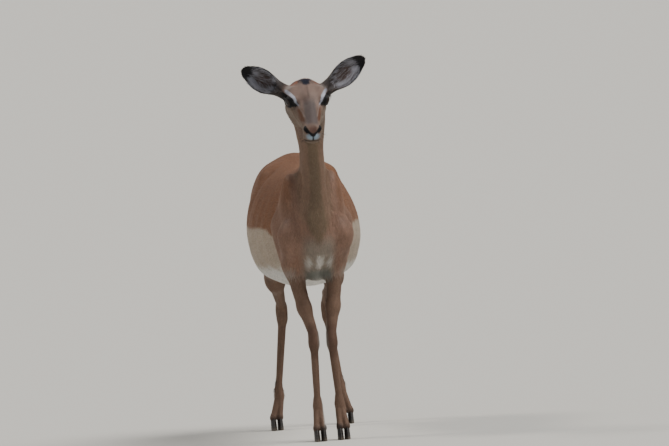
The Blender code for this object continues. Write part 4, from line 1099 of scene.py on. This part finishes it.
class Pelt:
    """The skin as the ground that hair grows from, with its unwrapped map."""

    def __init__(self, forms, mesh, normals):
        self.forms, self.head = forms, head_frame()
        self.points, self.normals, self.triangles = positions(mesh), normals, triangles_of(mesh)
        self.regions = region_of(self.points, self.head)
        self.chart_axis = np.abs(normals).argmax(1)
        self.places, self.map_size = self.unwrap()
        corners = self.points[self.triangles]
        self.middles = corners.mean(1)
        edges = corners[:, 1:] - corners[:, :1]
        self.area = np.linalg.norm(np.cross(edges[:, 0], edges[:, 1]), axis=1) / 2
        self.facing = unit(normals[self.triangles].mean(1))
        self.patch_regions = self.regions[self.triangles[:, 0]]

    def unwrap(self):
        """Flat places for the skin's points: each region laid out from its own six sides."""
        facing = self.chart_axis * 2 + (self.normals[np.arange(len(self.normals)), self.chart_axis] > 0)
        charts = []
        for chart in np.unique(self.regions * 6 + facing):
            mine = np.flatnonzero(self.regions * 6 + facing == chart)
            flat = np.delete(self.points[mine], chart % 6 // 2, axis=1)
            charts.append((mine, flat - flat.min(0), np.ptp(flat, 0)))
        charts.sort(key=lambda chart: -chart[2][1])
        found = np.zeros((len(self.points), 2))
        across, upward, row = UNWRAP_MARGIN, UNWRAP_MARGIN, 0.0
        for mine, flat, (wide, high) in charts:
            if across + wide + UNWRAP_MARGIN > UNWRAP_ROW:
                across, upward, row = UNWRAP_MARGIN, upward + row + UNWRAP_MARGIN, 0.0
            found[mine] = flat + (across, upward)
            across, row = across + wide + UNWRAP_MARGIN, max(row, high)
        size = max(UNWRAP_ROW, upward + row + UNWRAP_MARGIN)
        return found / size, size

    def roots(self, density, rng):
        """Roots at a density given for each triangle: places, normals, regions and map places."""
        total = np.cumsum(self.area * density)
        count = int(total[-1])
        chosen = np.searchsorted(total, (np.arange(count) + rng.random(count)) * total[-1] / count)
        corners = self.triangles[np.minimum(chosen, len(total) - 1)]
        share = np.sort(rng.random((count, 2)), 1)
        weights = np.stack((share[:, 0], share[:, 1] - share[:, 0], 1 - share[:, 1]), 1)[:, :, None]
        points = (self.points[corners] * weights).sum(1)
        normals = unit((self.normals[corners] * weights).sum(1))
        first = corners[:, 0]
        axis = self.chart_axis[first]
        step = points - self.points[first]
        flat = np.stack((np.where(axis == 0, step[:, 1], step[:, 0]),
                         np.where(axis == 2, step[:, 1], step[:, 2])), 1)
        return points, normals, self.regions[first], self.places[first] + flat / self.map_size


def tuft_faces(rings):
    """The triangles of one closed tuft: a root point, rings of left, right and ridge points, and a tip."""
    faces = [(0, 3, 1), (0, 2, 3), (0, 1, 2)]
    for ring in range(rings - 1):
        near, far = 1 + ring * 3, 4 + ring * 3
        for i, j in ((0, 2), (2, 1), (1, 0)):
            faces += [(near + i, near + j, far + j), (near + i, far + j, far + i)]
    last = rings * 3 - 2
    faces += [(last, last + 2, last + 3), (last + 2, last + 1, last + 3), (last + 1, last, last + 3)]
    return np.array(faces)


def tuft_mesh(name, centres, normals, lies, half_width, colours, places, thickness=0.5):
    """Closed tufts as one mesh, with painted shade at each root and along the sides and a painted highlight
    along the ridge and at the tip. centres runs from root to tip: (rings + 2, count, 3).
    """
    rings, count = len(centres) - 2, len(normals)
    aside = unit(np.cross(normals, lies))
    # painted light: each tuft is darkened at its root and along its two sides, where it lies in shade, and
    # lightened along its top ridge and at its tip as a painted highlight
    points, turns, painted_shading = [centres[0]], [normals], [0.72]
    for ring in range(1, rings + 1):
        share = ring / (rings + 1)
        wide = (half_width * (1.25 - 0.5 * share))[:, None]
        points += [centres[ring] + aside * wide, centres[ring] - aside * wide,
                   centres[ring] + normals * wide * thickness]
        turns += [normals + aside * 0.5, normals - aside * 0.5, normals]
        painted_shading += [0.90, 0.90, 1.04]
    points.append(centres[-1])
    turns.append(normals + lies * 0.25)
    painted_shading.append(1.14)
    each = len(points)
    faces = (np.arange(count)[:, None, None] * each + tuft_faces(rings)).reshape(-1, 3)
    mesh = new_mesh(name, np.stack(points, 1).reshape(-1, 3), faces)
    # the painted shade and highlight multiply each tuft's colour
    shade = np.array(painted_shading)[None, :, None]
    store(mesh, "coat", np.clip(colours[:, None, :] * shade, 0, 1).reshape(-1, 3))
    mesh.normals_split_custom_set_from_vertices(unit(np.stack(turns, 1).reshape(-1, 3)).astype(np.float32))
    patch = np.zeros((each, 2))
    patch[:, 1] = np.linspace(-0.5, 0.5, each)
    patch[1:-1:3, 0], patch[2:-1:3, 0] = 0.5, -0.5
    laid_out = (places[:, None, :] + patch * PATCH).reshape(-1, 2)
    bake = mesh.uv_layers.new(name="OFBake")
    bake.data.foreach_set("uv", laid_out[faces.ravel()].astype(np.float32).ravel())
    return mesh


def short_coat(pelt):
    """The tufts that lie along the whole skin, as (slot, mesh) pieces of limited size."""
    rng = np.random.default_rng(SEED)
    length, half_width, _ = hair_size(pelt.middles, pelt.facing, pelt.patch_regions, pelt.head)
    density = COVER[pelt.patch_regions] / (length * half_width) * (1 - bare(pelt.middles, pelt.head))
    roots, normals, regions, places = pelt.roots(density, rng)
    count = len(roots)
    length, half_width, lift = hair_size(roots, normals, regions, pelt.head)
    length = length * rng.uniform(0.70, 1.25, count)
    lift = lift * rng.uniform(0.40, 1.0, count)
    lies = turned(lie_of(roots, normals, regions, pelt.head), normals, rng.normal(0.0, 0.15, count))
    reach = 0.25 * length
    middle = laid(pelt.forms, roots + lies * (length * 0.45)[:, None], normals, lift * 0.55, reach)
    tip = laid(pelt.forms, roots + lies * length[:, None], normals, lift, reach)
    centres = np.stack((roots - normals * 0.0003, middle, tip))
    shade, tint = rng.uniform(0.84, 1.14, (count, 1)), 1 + rng.normal(0, 0.02, (count, 3))
    colours = markings(roots, normals) * shade * tint
    made = []
    for region, name in enumerate(REGIONS):
        mine = np.flatnonzero(regions == region)
        mine = mine[np.argsort(roots[mine, 0 if region == TRUNK else 2], kind="stable")]
        pieces = math.ceil(len(mine) / MOST_TUFTS)
        for number, part in enumerate(np.array_split(mine, pieces), 1):
            title = f"coat_{name}_{number}" if pieces > 1 else f"coat_{name}"
            made.append((SLOTS[region], tuft_mesh(title, centres[:, part], normals[part], lies[part],
                                                  half_width[part], colours[part], places[part])))
    return made


def locks(pelt, name, seed, density, lie, length, lift, half_width, spread, pale=0.0):
    """Longer hair, from where density allows. lie is its direction, or gives one for each root."""
    rng = np.random.default_rng(seed)
    roots, normals, _, places = pelt.roots(density, rng)
    count = len(roots)
    directions = lie(roots) if callable(lie) else np.tile(lie, (count, 1))
    lies = turned(along_surface(directions, normals), normals, rng.normal(0.0, spread, count))
    size = length * rng.uniform(0.6, 1.2, count)
    rise = lift * rng.uniform(0.4, 1.2, count)
    centres = [roots - normals * 0.0005]
    for share in np.linspace(0, 1, LOCK_RINGS + 2)[1:]:
        centres.append(roots + lies * (size * share)[:, None] + normals * (rise * share ** 0.8)[:, None])
    colours = paint(markings(roots, normals), PALE_EAR_HAIR, np.full(count, pale))
    colours = colours * rng.uniform(0.80, 1.15, (count, 1))
    return tuft_mesh(name, np.stack(centres), normals, lies, np.full(count, half_width), colours, places,
                     thickness=0.35)


# --- hair of each kind ---

def ear_hair(pelt, region):
    """Long pale hair that grows in rows inside an ear, leaning towards its middle and its tip."""
    side = -1 if region == EAR_RIGHT else 1
    ear = ear_frame(pelt.head, side)
    place = np.stack(ear.local(*pelt.middles.T), 1)
    outward = place[:, 1]
    inside = ramp(pelt.facing @ ear.axes[2], 0.0, 0.4) * (pelt.patch_regions == region)
    angle, edge, _ = ear_share(place)
    near_edge = ramp(np.abs(angle) / np.maximum(edge, 0.2), 0.35, 0.75)
    density = inside * ramp(outward, 0.022, 0.035) * ramp(0.135 - outward, 0.0, 0.02) * 42000
    density = density * (0.35 + near_edge)

    def lie(roots):
        across = ear.local(*roots.T)[0]
        return ear.axes[1] - ear.axes[0] * (np.clip(across / 0.02, -1, 1) * 0.40)[:, None]

    return locks(pelt, f"ear_hair_{SIDE_NAMES[side]}", SEED + region, density, lie, length=0.021, lift=0.0030,
                 half_width=0.00050, spread=0.16, pale=0.5)


def tail_hair(pelt):
    """Long white hair down the tail, black along its back."""
    density = (pelt.patch_regions == TAIL) * ramp(0.76 - pelt.middles[:, 2], 0.0, 0.05) * 60000
    return locks(pelt, "tail_hair", SEED + 20, density, (0, 0.05, -1.0), length=0.062, lift=0.0045,
                 half_width=0.0007, spread=0.12)


def fetlock_tuft(pelt, name):
    """The black tuft of gland hair at the back of a hind fetlock."""
    fetlock = np.array(HINDLEGS[name][2])
    near = np.linalg.norm((pelt.middles - fetlock - (0, 0.012, 0.022)) * (1, 1, 0.55), axis=1)
    density = ramp(0.021 - near, 0.0, 0.006) * 260000
    return locks(pelt, f"fetlock_tuft_{name}", SEED + 30 + (name == "left"), density, (0, 0.35, -1.0),
                 length=0.015, lift=0.0040, half_width=0.00055, spread=0.15)


def crown_tuft(pelt):
    """The raised dark tuft on the crown."""
    place = np.stack(pelt.head.local(*pelt.middles.T), 1)
    near = np.linalg.norm((place - (0.004, -0.056, 0.026)) * (0.8, 1, 1), axis=1)
    density = ramp(0.024 - near, 0.0, 0.010) * (pelt.patch_regions == HEAD) * 420000
    return locks(pelt, "crown_tuft", SEED + 40, density, pelt.head.axes[2] * 0.4 - pelt.head.axes[1],
                 length=0.012, lift=0.0036, half_width=0.00042, spread=0.25)


def chin_hair(pelt):
    """Longer hair under the jaw and along the front of the throat."""
    place = np.stack(pelt.head.local(*pelt.middles.T), 1)
    density = (ramp(-0.040 - place[:, 2], 0.0, 0.010) * ramp(place[:, 1], -0.06, -0.04)
               * (pelt.patch_regions == HEAD) * ramp(0.140 - place[:, 1], 0, 0.01) * 90000)
    return locks(pelt, "chin_hair", SEED + 50, density, -pelt.head.axes[1] - pelt.head.axes[2] * 0.5,
                 length=0.010, lift=0.0016, half_width=0.00045, spread=0.2)


def bristles(name, roots, tips, half_width, colour, places, rise):
    """Stiff single hairs, such as lashes and whiskers, from roots to tips, that arch up by rise."""
    lies = unit(tips - roots)
    normals = along_surface(np.tile((0.05, -0.9, 0.4), (len(roots), 1)), lies)
    arch = np.array((0, 0, rise)) * 4
    middle = [roots + (tips - roots) * share + arch * share * (1 - share) for share in (0.33, 0.66)]
    centres = np.stack([roots, *middle, tips])
    colours = np.tile(colour, (len(roots), 1))
    return tuft_mesh(name, centres, normals, lies, np.full(len(roots), half_width), colours, places, 0.9)


def lash_mesh(pelt, side):
    """Upper lashes: fine black hairs that fan out from the upper lid."""
    rng = np.random.default_rng(SEED + 60 + side)
    eye = sided(side, EYE_PLACE)
    arc = lid_arc(eye, side, 0.0150, 0.0112, 15, 165, LASHES)
    roots = np.array([pelt.head.to_world(*point) for point in arc])
    look, spread = sided(side, EYE_LOOK) @ pelt.head.axes, roots - pelt.head.to_world(*eye)
    outward = unit(unit(look) * 0.8 + unit(spread) * 0.9 + rng.normal(0, 0.10, roots.shape))
    tips = roots + outward * rng.uniform(0.008, 0.013, (len(roots), 1)) - (0, 0, 0.002)
    nearest = np.array([np.linalg.norm(pelt.points - root, axis=1).argmin() for root in roots])
    return bristles(f"lashes_{SIDE_NAMES[side]}", roots, tips, 0.00022, BLACK, pelt.places[nearest], 0.002)


def whisker_mesh(pelt):
    """A few fine dark hairs on the upper lip and chin."""
    rng = np.random.default_rng(SEED + 70)
    side, forward, up = pelt.head.local(*pelt.points.T)
    able = (forward > 0.100) & (forward < 0.150) & (np.abs(side) > 0.012) & (up < -0.010) & (up > -0.046)
    chosen = rng.choice(np.flatnonzero(able), WHISKERS, replace=False)
    roots = pelt.points[chosen]
    outward = pelt.normals[chosen] + pelt.head.axes[1] * 0.15 + (0, 0, -0.35)
    outward = unit(outward + rng.normal(0, 0.12, roots.shape))
    tips = roots + outward * rng.uniform(0.010, 0.024, (WHISKERS, 1))
    return bristles("whiskers", roots, tips, 0.00016, NEAR_BLACK, pelt.places[chosen], 0.001)


# --- materials ---

def add_node(tree, kind, links=(), inputs=(), **properties):
    """A shader node. links are (input, source socket), inputs are (input, value)."""
    made = tree.nodes.new(kind)
    for key, value in properties.items():
        setattr(made, key, value)
    for socket, value in inputs:
        made.inputs[socket].default_value = value
    for socket, source in links:
        tree.links.new(source, made.inputs[socket])
    return made


def surface(name, roughness, inputs=()):
    made = bpy.data.materials.new(name)
    made.use_nodes = True
    shader = made.node_tree.nodes["Principled BSDF"]
    for socket, value in (("Roughness", roughness), *inputs):
        shader.inputs[socket].default_value = value
    return made, made.node_tree, shader


def hair_pattern(tree, place, stretch, scale):
    """Fine streaks of hair: noise squeezed by stretch along each axis."""
    mapping = add_node(tree, "ShaderNodeMapping", [("Vector", place)], [("Scale", stretch)])
    return add_node(tree, "ShaderNodeTexNoise", [("Vector", mapping.outputs["Vector"])],
                    [("Scale", scale), ("Detail", 4.0), ("Roughness", 0.62)]).outputs["Fac"]


def varied(tree, value, low, high, least=0.30, most=0.70):
    """A value between least and most, as noise nearly always is, spread from low to high."""
    spread = [("From Min", least), ("From Max", most), ("To Min", low), ("To Max", high)]
    return add_node(tree, "ShaderNodeMapRange", [("Value", value)], spread).outputs["Result"]


def noise(tree, place, scale, detail, roughness=0.5):
    return add_node(tree, "ShaderNodeTexNoise", [("Vector", place)],
                    [("Scale", scale), ("Detail", detail), ("Roughness", roughness)]).outputs["Fac"]


def times(tree, one, other):
    return add_node(tree, "ShaderNodeMath", [(0, one), (1, other)], operation="MULTIPLY").outputs["Value"]


def coloured(tree, shader, colour, shade):
    """The base colour, lighter or darker by shade."""
    tint = add_node(tree, "ShaderNodeVectorMath", [("Vector", colour), ("Scale", shade)], operation="SCALE")
    tree.links.new(tint.outputs["Vector"], shader.inputs["Base Color"])


def stored(tree, name):
    """A colour that is kept on each point of the mesh."""
    return add_node(tree, "ShaderNodeAttribute", attribute_name=name).outputs["Color"]


def raised(tree, shader, height, distance):
    """Fine relief."""
    bump = add_node(tree, "ShaderNodeBump", [("Height", height)], [("Strength", 0.5), ("Distance", distance)])
    tree.links.new(bump.outputs["Normal"], shader.inputs["Normal"])


def coat_material():
    """Short hair: the markings, broken up hair by hair, with a fine bump that runs with the coat."""
    made, tree, shader = surface("coat", 0.62, [("Specular IOR Level", 0.20)])
    upright = add_node(tree, "ShaderNodeAttribute", attribute_name="upright").outputs["Fac"]
    place = add_node(tree, "ShaderNodeTexCoord").outputs["Object"]
    level = hair_pattern(tree, place, (1.0, 0.16, 0.55), 620.0)
    hanging = hair_pattern(tree, place, (1.0, 1.0, 0.14), 640.0)
    blend = add_node(tree, "ShaderNodeMix", [("Factor", upright), ("A", level), ("B", hanging)])
    streak = blend.outputs["Result"]
    patches = varied(tree, noise(tree, place, 26.0, 3.0), 0.90, 1.10)
    coloured(tree, shader, stored(tree, "coat"), times(tree, varied(tree, streak, 0.78, 1.20), patches))
    raised(tree, shader, streak, 0.0008)
    return made


def store(mesh, name, values):
    """A colour on each point of a mesh."""
    layer = mesh.color_attributes.new(name, "FLOAT_COLOR", "POINT")
    full = np.ones((len(values), 4), np.float32)
    full[:, :values.shape[1]] = values
    layer.data.foreach_set("color", full.ravel())


def store_value(mesh, name, values):
    layer = mesh.attributes.new(name, "FLOAT", "POINT")
    layer.data.foreach_set("value", values.astype(np.float32))


def tuft_material():
    """Tufts: their own colours with a little change along and between them, and a silky gloss."""
    made, tree, shader = surface("hair", 0.48, [("Specular IOR Level", 0.22)])
    place = add_node(tree, "ShaderNodeTexCoord").outputs["Object"]
    hairs = varied(tree, noise(tree, place, 900.0, 2.0, 0.6), 0.88, 1.12)
    patches = varied(tree, noise(tree, place, 30.0, 3.0), 0.92, 1.08)
    coloured(tree, shader, stored(tree, "coat"), times(tree, hairs, patches))
    return made


def eye_material():
    """A wet eye: a dark brown iris with fine rays, a level dark pupil and a darker rim."""
    made, tree, shader = surface("eye_wet", 0.12, [("Specular IOR Level", 0.2), ("Coat Weight", 0.2),
                                                   ("Coat Roughness", 0.02), ("IOR", 1.38)])
    place = add_node(tree, "ShaderNodeTexCoord").outputs["Object"]
    flecks = varied(tree, noise(tree, place, 700.0, 3.0), 0.75, 1.30)
    coloured(tree, shader, stored(tree, "iris"), flecks)
    return made


def horn_material():
    """Blackish horn: growth rings round the claw, fine streaks down it, a worn and dusty lower edge."""
    made, tree, shader = surface("horn", 0.5, [("Specular IOR Level", 0.4)])
    place = add_node(tree, "ShaderNodeTexCoord").outputs["Object"]
    grain = hair_pattern(tree, place, (1.0, 1.0, 0.12), 900.0)
    rings = hair_pattern(tree, place, (0.06, 0.06, 1.0), 520.0)
    height = add_node(tree, "ShaderNodeSeparateXYZ", [("Vector", place)]).outputs["Z"]
    wear = varied(tree, height, 0.75, 0.0, 0.0, 0.014)
    tint = add_node(tree, "ShaderNodeMix", [("Factor", times(tree, wear, varied(tree, grain, 0.3, 1.0)))],
                    [("A", (0.022, 0.018, 0.016, 1)), ("B", (0.16, 0.125, 0.09, 1))], data_type="RGBA")
    coloured(tree, shader, tint.outputs["Result"], varied(tree, rings, 0.75, 1.25))
    tree.links.new(varied(tree, grain, 0.38, 0.62), shader.inputs["Roughness"])
    both = add_node(tree, "ShaderNodeMath", [(0, grain), (1, rings)], operation="ADD").outputs["Value"]
    raised(tree, shader, both, 0.0006)
    return made


# --- the skin ---

FLESH_NODES = ("head", "neck", "trunk", "tail", "ear_left", "ear_right", "foreleg_left", "foreleg_right",
               "hindleg_left", "hindleg_right")


def uprightness(points):
    """1 where the coat hangs down, as on neck and legs; 0 where it runs along the body."""
    neck = ramp(points[:, 2], 0.76, 0.86) * ramp(0.05 - points[:, 1], -0.03, 0.03)
    return np.maximum(neck, ramp(0.52 - points[:, 2], -0.02, 0.06))


def placed(made, name):
    """Puts a piece, modelled in the solids' own layout, where the frame has it."""
    made.name = name
    made.data.name = name
    made.data.transform(Matrix.Translation(SHIFT))
    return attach(made, "root")


def frame_shift():
    """From the layout here, with the fore hooves near Y = 0, to the frame."""
    inner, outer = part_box("hoof_fore_left_inner"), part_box("hoof_fore_left_outer")
    middle = FORELEGS["left"][3]
    return Vector(((inner[0].x + outer[1].x) / 2 - middle[0], inner[0].y + CLAW_LENGTH / 2 - middle[1], 0.0))


SHIFT = frame_shift()


# --- eyes and claws ---

IRIS, IRIS_EDGE = (0.032, 0.014, 0.007), (0.010, 0.006, 0.005)
PUPIL, BALL = (0.003, 0.003, 0.004), (0.030, 0.020, 0.016)


def ball_mesh(name, radius, rings=48, segments=64):
    """A ball of rings round Z with one point at each pole."""
    tilts = np.linspace(0, math.pi, rings + 1)[1:-1]
    turns = np.arange(segments) * math.tau / segments
    ring_points = [(math.sin(tilt) * math.cos(turn), math.sin(tilt) * math.sin(turn), math.cos(tilt))
                   for tilt in tilts for turn in turns]
    points = np.array([(0.0, 0.0, 1.0), *ring_points, (0.0, 0.0, -1.0)]) * radius
    faces = []
    for j in range(segments):
        k = (j + 1) % segments
        faces.append((0, 1 + j, 1 + k))
        for ring in range(rings - 2):
            near, far = 1 + ring * segments, 1 + (ring + 1) * segments
            faces += [(near + j, far + j, far + k), (near + j, far + k, near + k)]
        last = 1 + (rings - 2) * segments
        faces.append((last + j, len(points) - 1, last + k))
    return new_mesh(name, points, faces)


def eyeball(head, side):
    """A ball whose clear front bulges, with a long level pupil."""
    mesh = ball_mesh(f"eyeball_{SIDE_NAMES[side]}", EYE_RADIUS - 0.0004)
    points = positions(mesh)
    ahead = np.clip(points[:, 2] / EYE_RADIUS - 0.55, 0, 1) / 0.45
    points[:, 2] += 0.0012 * ahead * (2 - ahead)
    reach = np.arctan2(np.hypot(points[:, 0], points[:, 1]), points[:, 2])
    angle = np.arctan2(points[:, 1], points[:, 0])
    rays = 0.5 + 0.5 * np.sin(angle * 37 + np.sin(angle * 5) * 2)
    iris = ramp(0.86 - reach, -0.03, 0.03)
    pupil = ramp(1 - np.hypot(points[:, 0] / 0.0082, points[:, 1] / 0.0046), -0.10, 0.10) * (points[:, 2] > 0)
    colours = painted(np.tile(BALL, (len(points), 1)),
                      (IRIS, iris),
                      (np.array(IRIS) * 1.4, iris * rays * ramp(reach, 0.30, 0.60) * 0.7),
                      (IRIS_EDGE, iris * ramp(reach, 0.68, 0.84)),
                      (PUPIL, pupil))
    mesh.vertices.foreach_set("co", points.astype(np.float32).ravel())
    store(mesh, "iris", colours)
    look = Vector(sided(side, EYE_LOOK) @ head.axes).normalized()
    ahead_of_face = Vector(head.axes[1])
    level = (ahead_of_face - look * ahead_of_face.dot(look)).normalized()
    place = Matrix((level, look.cross(level), look)).transposed().to_4x4()
    place.translation = Vector(head.to_world(*sided(side, EYE_PLACE)))
    mesh.transform(place)
    mesh.update()
    return mesh


def coronet_height(y):
    """Height of the top of the horn, y behind a hoof's middle."""
    return CORONET_FRONT + (CORONET_HEEL - CORONET_FRONT) * (y / (CLAW_LENGTH * CLAW_TOP) + 0.5)


def claw_outline(share, side, shrink):
    """A point of a claw's plan: pointed in front, round at the heel, fuller on its inner side."""
    forward, outward = np.cos(share * math.tau), np.sin(share * math.tau)
    taper = 1 - np.where(outward > 0, 0.62, 0.42) * shrink * np.maximum(forward, 0) ** 2.2
    flat = np.where(outward > 0, 1.0, 1.04)
    narrower = 0.72 + 0.28 * shrink
    return side * outward * taper * flat * CLAW_WIDTH / 2 * narrower, -forward * CLAW_LENGTH / 2 * shrink


def claw_mesh(name, hoof, side, rings=30, around=72):
    """One claw of horn, with growth rings round its wall and a sole that is a little worn at its rim."""
    middle = hoof[0] + side * (CLAW_WIDTH + CLAW_CLEFT) / 2
    share = np.arange(around) / around
    levels = []
    for rise in np.linspace(0, 1, rings):
        ridge = 0.00035 * math.sin(rise * 26) * math.sin(rise * math.pi)
        worn = 0.0008 * max(1 - rise / 0.06, 0) ** 2
        shrink, lean = 1 - (1 - CLAW_TOP) * rise ** 0.85, CLAW_LEAN * rise ** 1.15
        x, y = claw_outline(share, side, shrink)
        size = 1 + (ridge - worn) / (CLAW_WIDTH / 2)
        length = 1 + (ridge - worn) / (CLAW_LENGTH / 2)
        levels.append(np.stack((middle + x * size, hoof[1] + y * length + lean,
                                rise * coronet_height(y + lean)), 1))
    points = np.concatenate(levels + [levels[0].mean(0, keepdims=True), levels[-1].mean(0, keepdims=True)])
    faces, sole, top = [], len(points) - 2, len(points) - 1
    for j in range(around):
        k = (j + 1) % around
        faces += [(sole, k, j), (top, (rings - 1) * around + j, (rings - 1) * around + k)]
        for ring in range(rings - 1):
            near, far = ring * around, (ring + 1) * around
            faces += [(near + j, near + k, far + k), (near + j, far + k, far + j)]
    if side > 0:
        faces = [face[::-1] for face in faces]
    return new_mesh(name, points, faces)


# --- stage ---

VIEW_AZIMUTH, VIEW_ELEVATION, VIEW_ROLL = math.radians(-4.5), math.radians(2.62), math.radians(4.5)
VIEW_DISTANCE, VIEW_WIDTH, SENSOR = 28.0, 2.078, 36.0
AIM_RIGHT, AIM_UP = 0.011, 0.674                 # of the picture's middle, from between the fore feet


def place_camera():
    """A long lens from in front, a little above and to the animal's right, held slightly tilted."""
    level, drop = math.cos(VIEW_ELEVATION), -math.sin(VIEW_ELEVATION)
    view = Vector((math.sin(-VIEW_AZIMUTH) * level, math.cos(VIEW_AZIMUTH) * level, drop))
    right = view.cross(Vector((0, 0, 1))).normalized()
    up = right.cross(view)
    across = right * math.cos(VIEW_ROLL) - up * math.sin(VIEW_ROLL)
    upward = right * math.sin(VIEW_ROLL) + up * math.cos(VIEW_ROLL)
    feet = SHIFT + Vector((0.0015, 0, 0))
    aim = feet + across * AIM_RIGHT + upward * AIM_UP
    camera = bpy.data.objects.new("camera", bpy.data.cameras.new("camera"))
    bpy.context.scene.collection.objects.link(camera)
    camera.matrix_world = Matrix((across, upward, -view)).transposed().to_4x4()
    camera.location = aim - view * VIEW_DISTANCE
    camera.data.sensor_width = SENSOR
    camera.data.lens = SENSOR * VIEW_DISTANCE / VIEW_WIDTH
    camera.data.clip_end = 300.0
    bpy.context.scene.camera = camera


def sun(name, energy, direction, spread, colour):
    """Sunlight from a direction, its disc spread over some degrees."""
    made = bpy.data.objects.new(name, bpy.data.lights.new(name, "SUN"))
    made.data.energy = energy
    made.data.color = colour
    made.data.angle = math.radians(spread)
    made.rotation_euler = (-Vector(direction)).to_track_quat("-Z", "Y").to_euler()
    bpy.context.scene.collection.objects.link(made)


def stage():
    corners = [(-120, -60, 0), (120, -60, 0), (120, 200, 0), (-120, 200, 0)]
    floor = new_object("floor", new_mesh("floor", corners, [(0, 1, 2, 3)], False))
    made, _, shader = surface("floor", 0.9)
    shader.inputs["Base Color"].default_value = (0.60, 0.585, 0.55, 1)
    floor.data.materials.append(made)
    world = bpy.data.worlds.new("studio")
    world.use_nodes = True
    sky = world.node_tree.nodes["Background"]
    sky.inputs["Color"].default_value = (0.90, 0.95, 1.0, 1)
    sky.inputs["Strength"].default_value = 0.36
    bpy.context.scene.world = world
    sun("key", 3.1, (0.80, -0.30, 1.15), 34, (1.0, 0.97, 0.92))
    sun("rim", 1.1, (-0.85, 0.45, 1.05), 12, (1.0, 0.93, 0.84))


# --- the whole ---

def add_piece(mesh, slot, material, replaced=()):
    mesh.materials.append(material)
    made = placed(new_object(mesh.name, mesh), mesh.name)
    if replaced:
        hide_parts(*replaced)


def add_eyes(head):
    wet = eye_material()
    for side, name in SIDE_NAMES.items():
        add_piece(eyeball(head, side), "eye", wet, (f"eye_{name}",))


def add_claws():
    horn = horn_material()
    for pair, legs in (("fore", FORELEGS), ("hind", HINDLEGS)):
        for name, (*_, hoof) in legs.items():
            outer = -1 if name == "right" else 1
            for place, side in (("inner", -outer), ("outer", outer)):
                claw = claw_mesh(f"claw_{pair}_{name}_{place}", hoof, side)
                add_piece(claw, "horn", horn, (f"hoof_{pair}_{name}_{place}",))


def add_coat(pelt):
    hair = tuft_material()
    for slot, mesh in short_coat(pelt):
        add_piece(mesh, slot, hair)
    for slot, mesh in (("ear_coat", ear_hair(pelt, EAR_RIGHT)), ("ear_coat", ear_hair(pelt, EAR_LEFT)),
                       ("tail_coat", tail_hair(pelt)), ("leg_coat", fetlock_tuft(pelt, "right")),
                       ("leg_coat", fetlock_tuft(pelt, "left")), ("face_coat", crown_tuft(pelt)),
                       ("face_coat", chin_hair(pelt)), ("face_coat", lash_mesh(pelt, -1)),
                       ("face_coat", lash_mesh(pelt, 1)), ("face_coat", whisker_mesh(pelt))):
        add_piece(mesh, slot, hair)


def main():
    forms = skin_forms()
    mesh = skin_mesh(forms)
    points = positions(mesh)
    normals = normals_at(forms, points)
    store(mesh, "coat", markings(points, normals))
    store_value(mesh, "upright", uprightness(points))
    pelt = Pelt(forms, mesh, normals)
    add_piece(mesh, "body_coat", coat_material(), FLESH_NODES)
    add_eyes(pelt.head)
    add_claws()
    add_coat(pelt)
    stage()
    place_camera()


main()
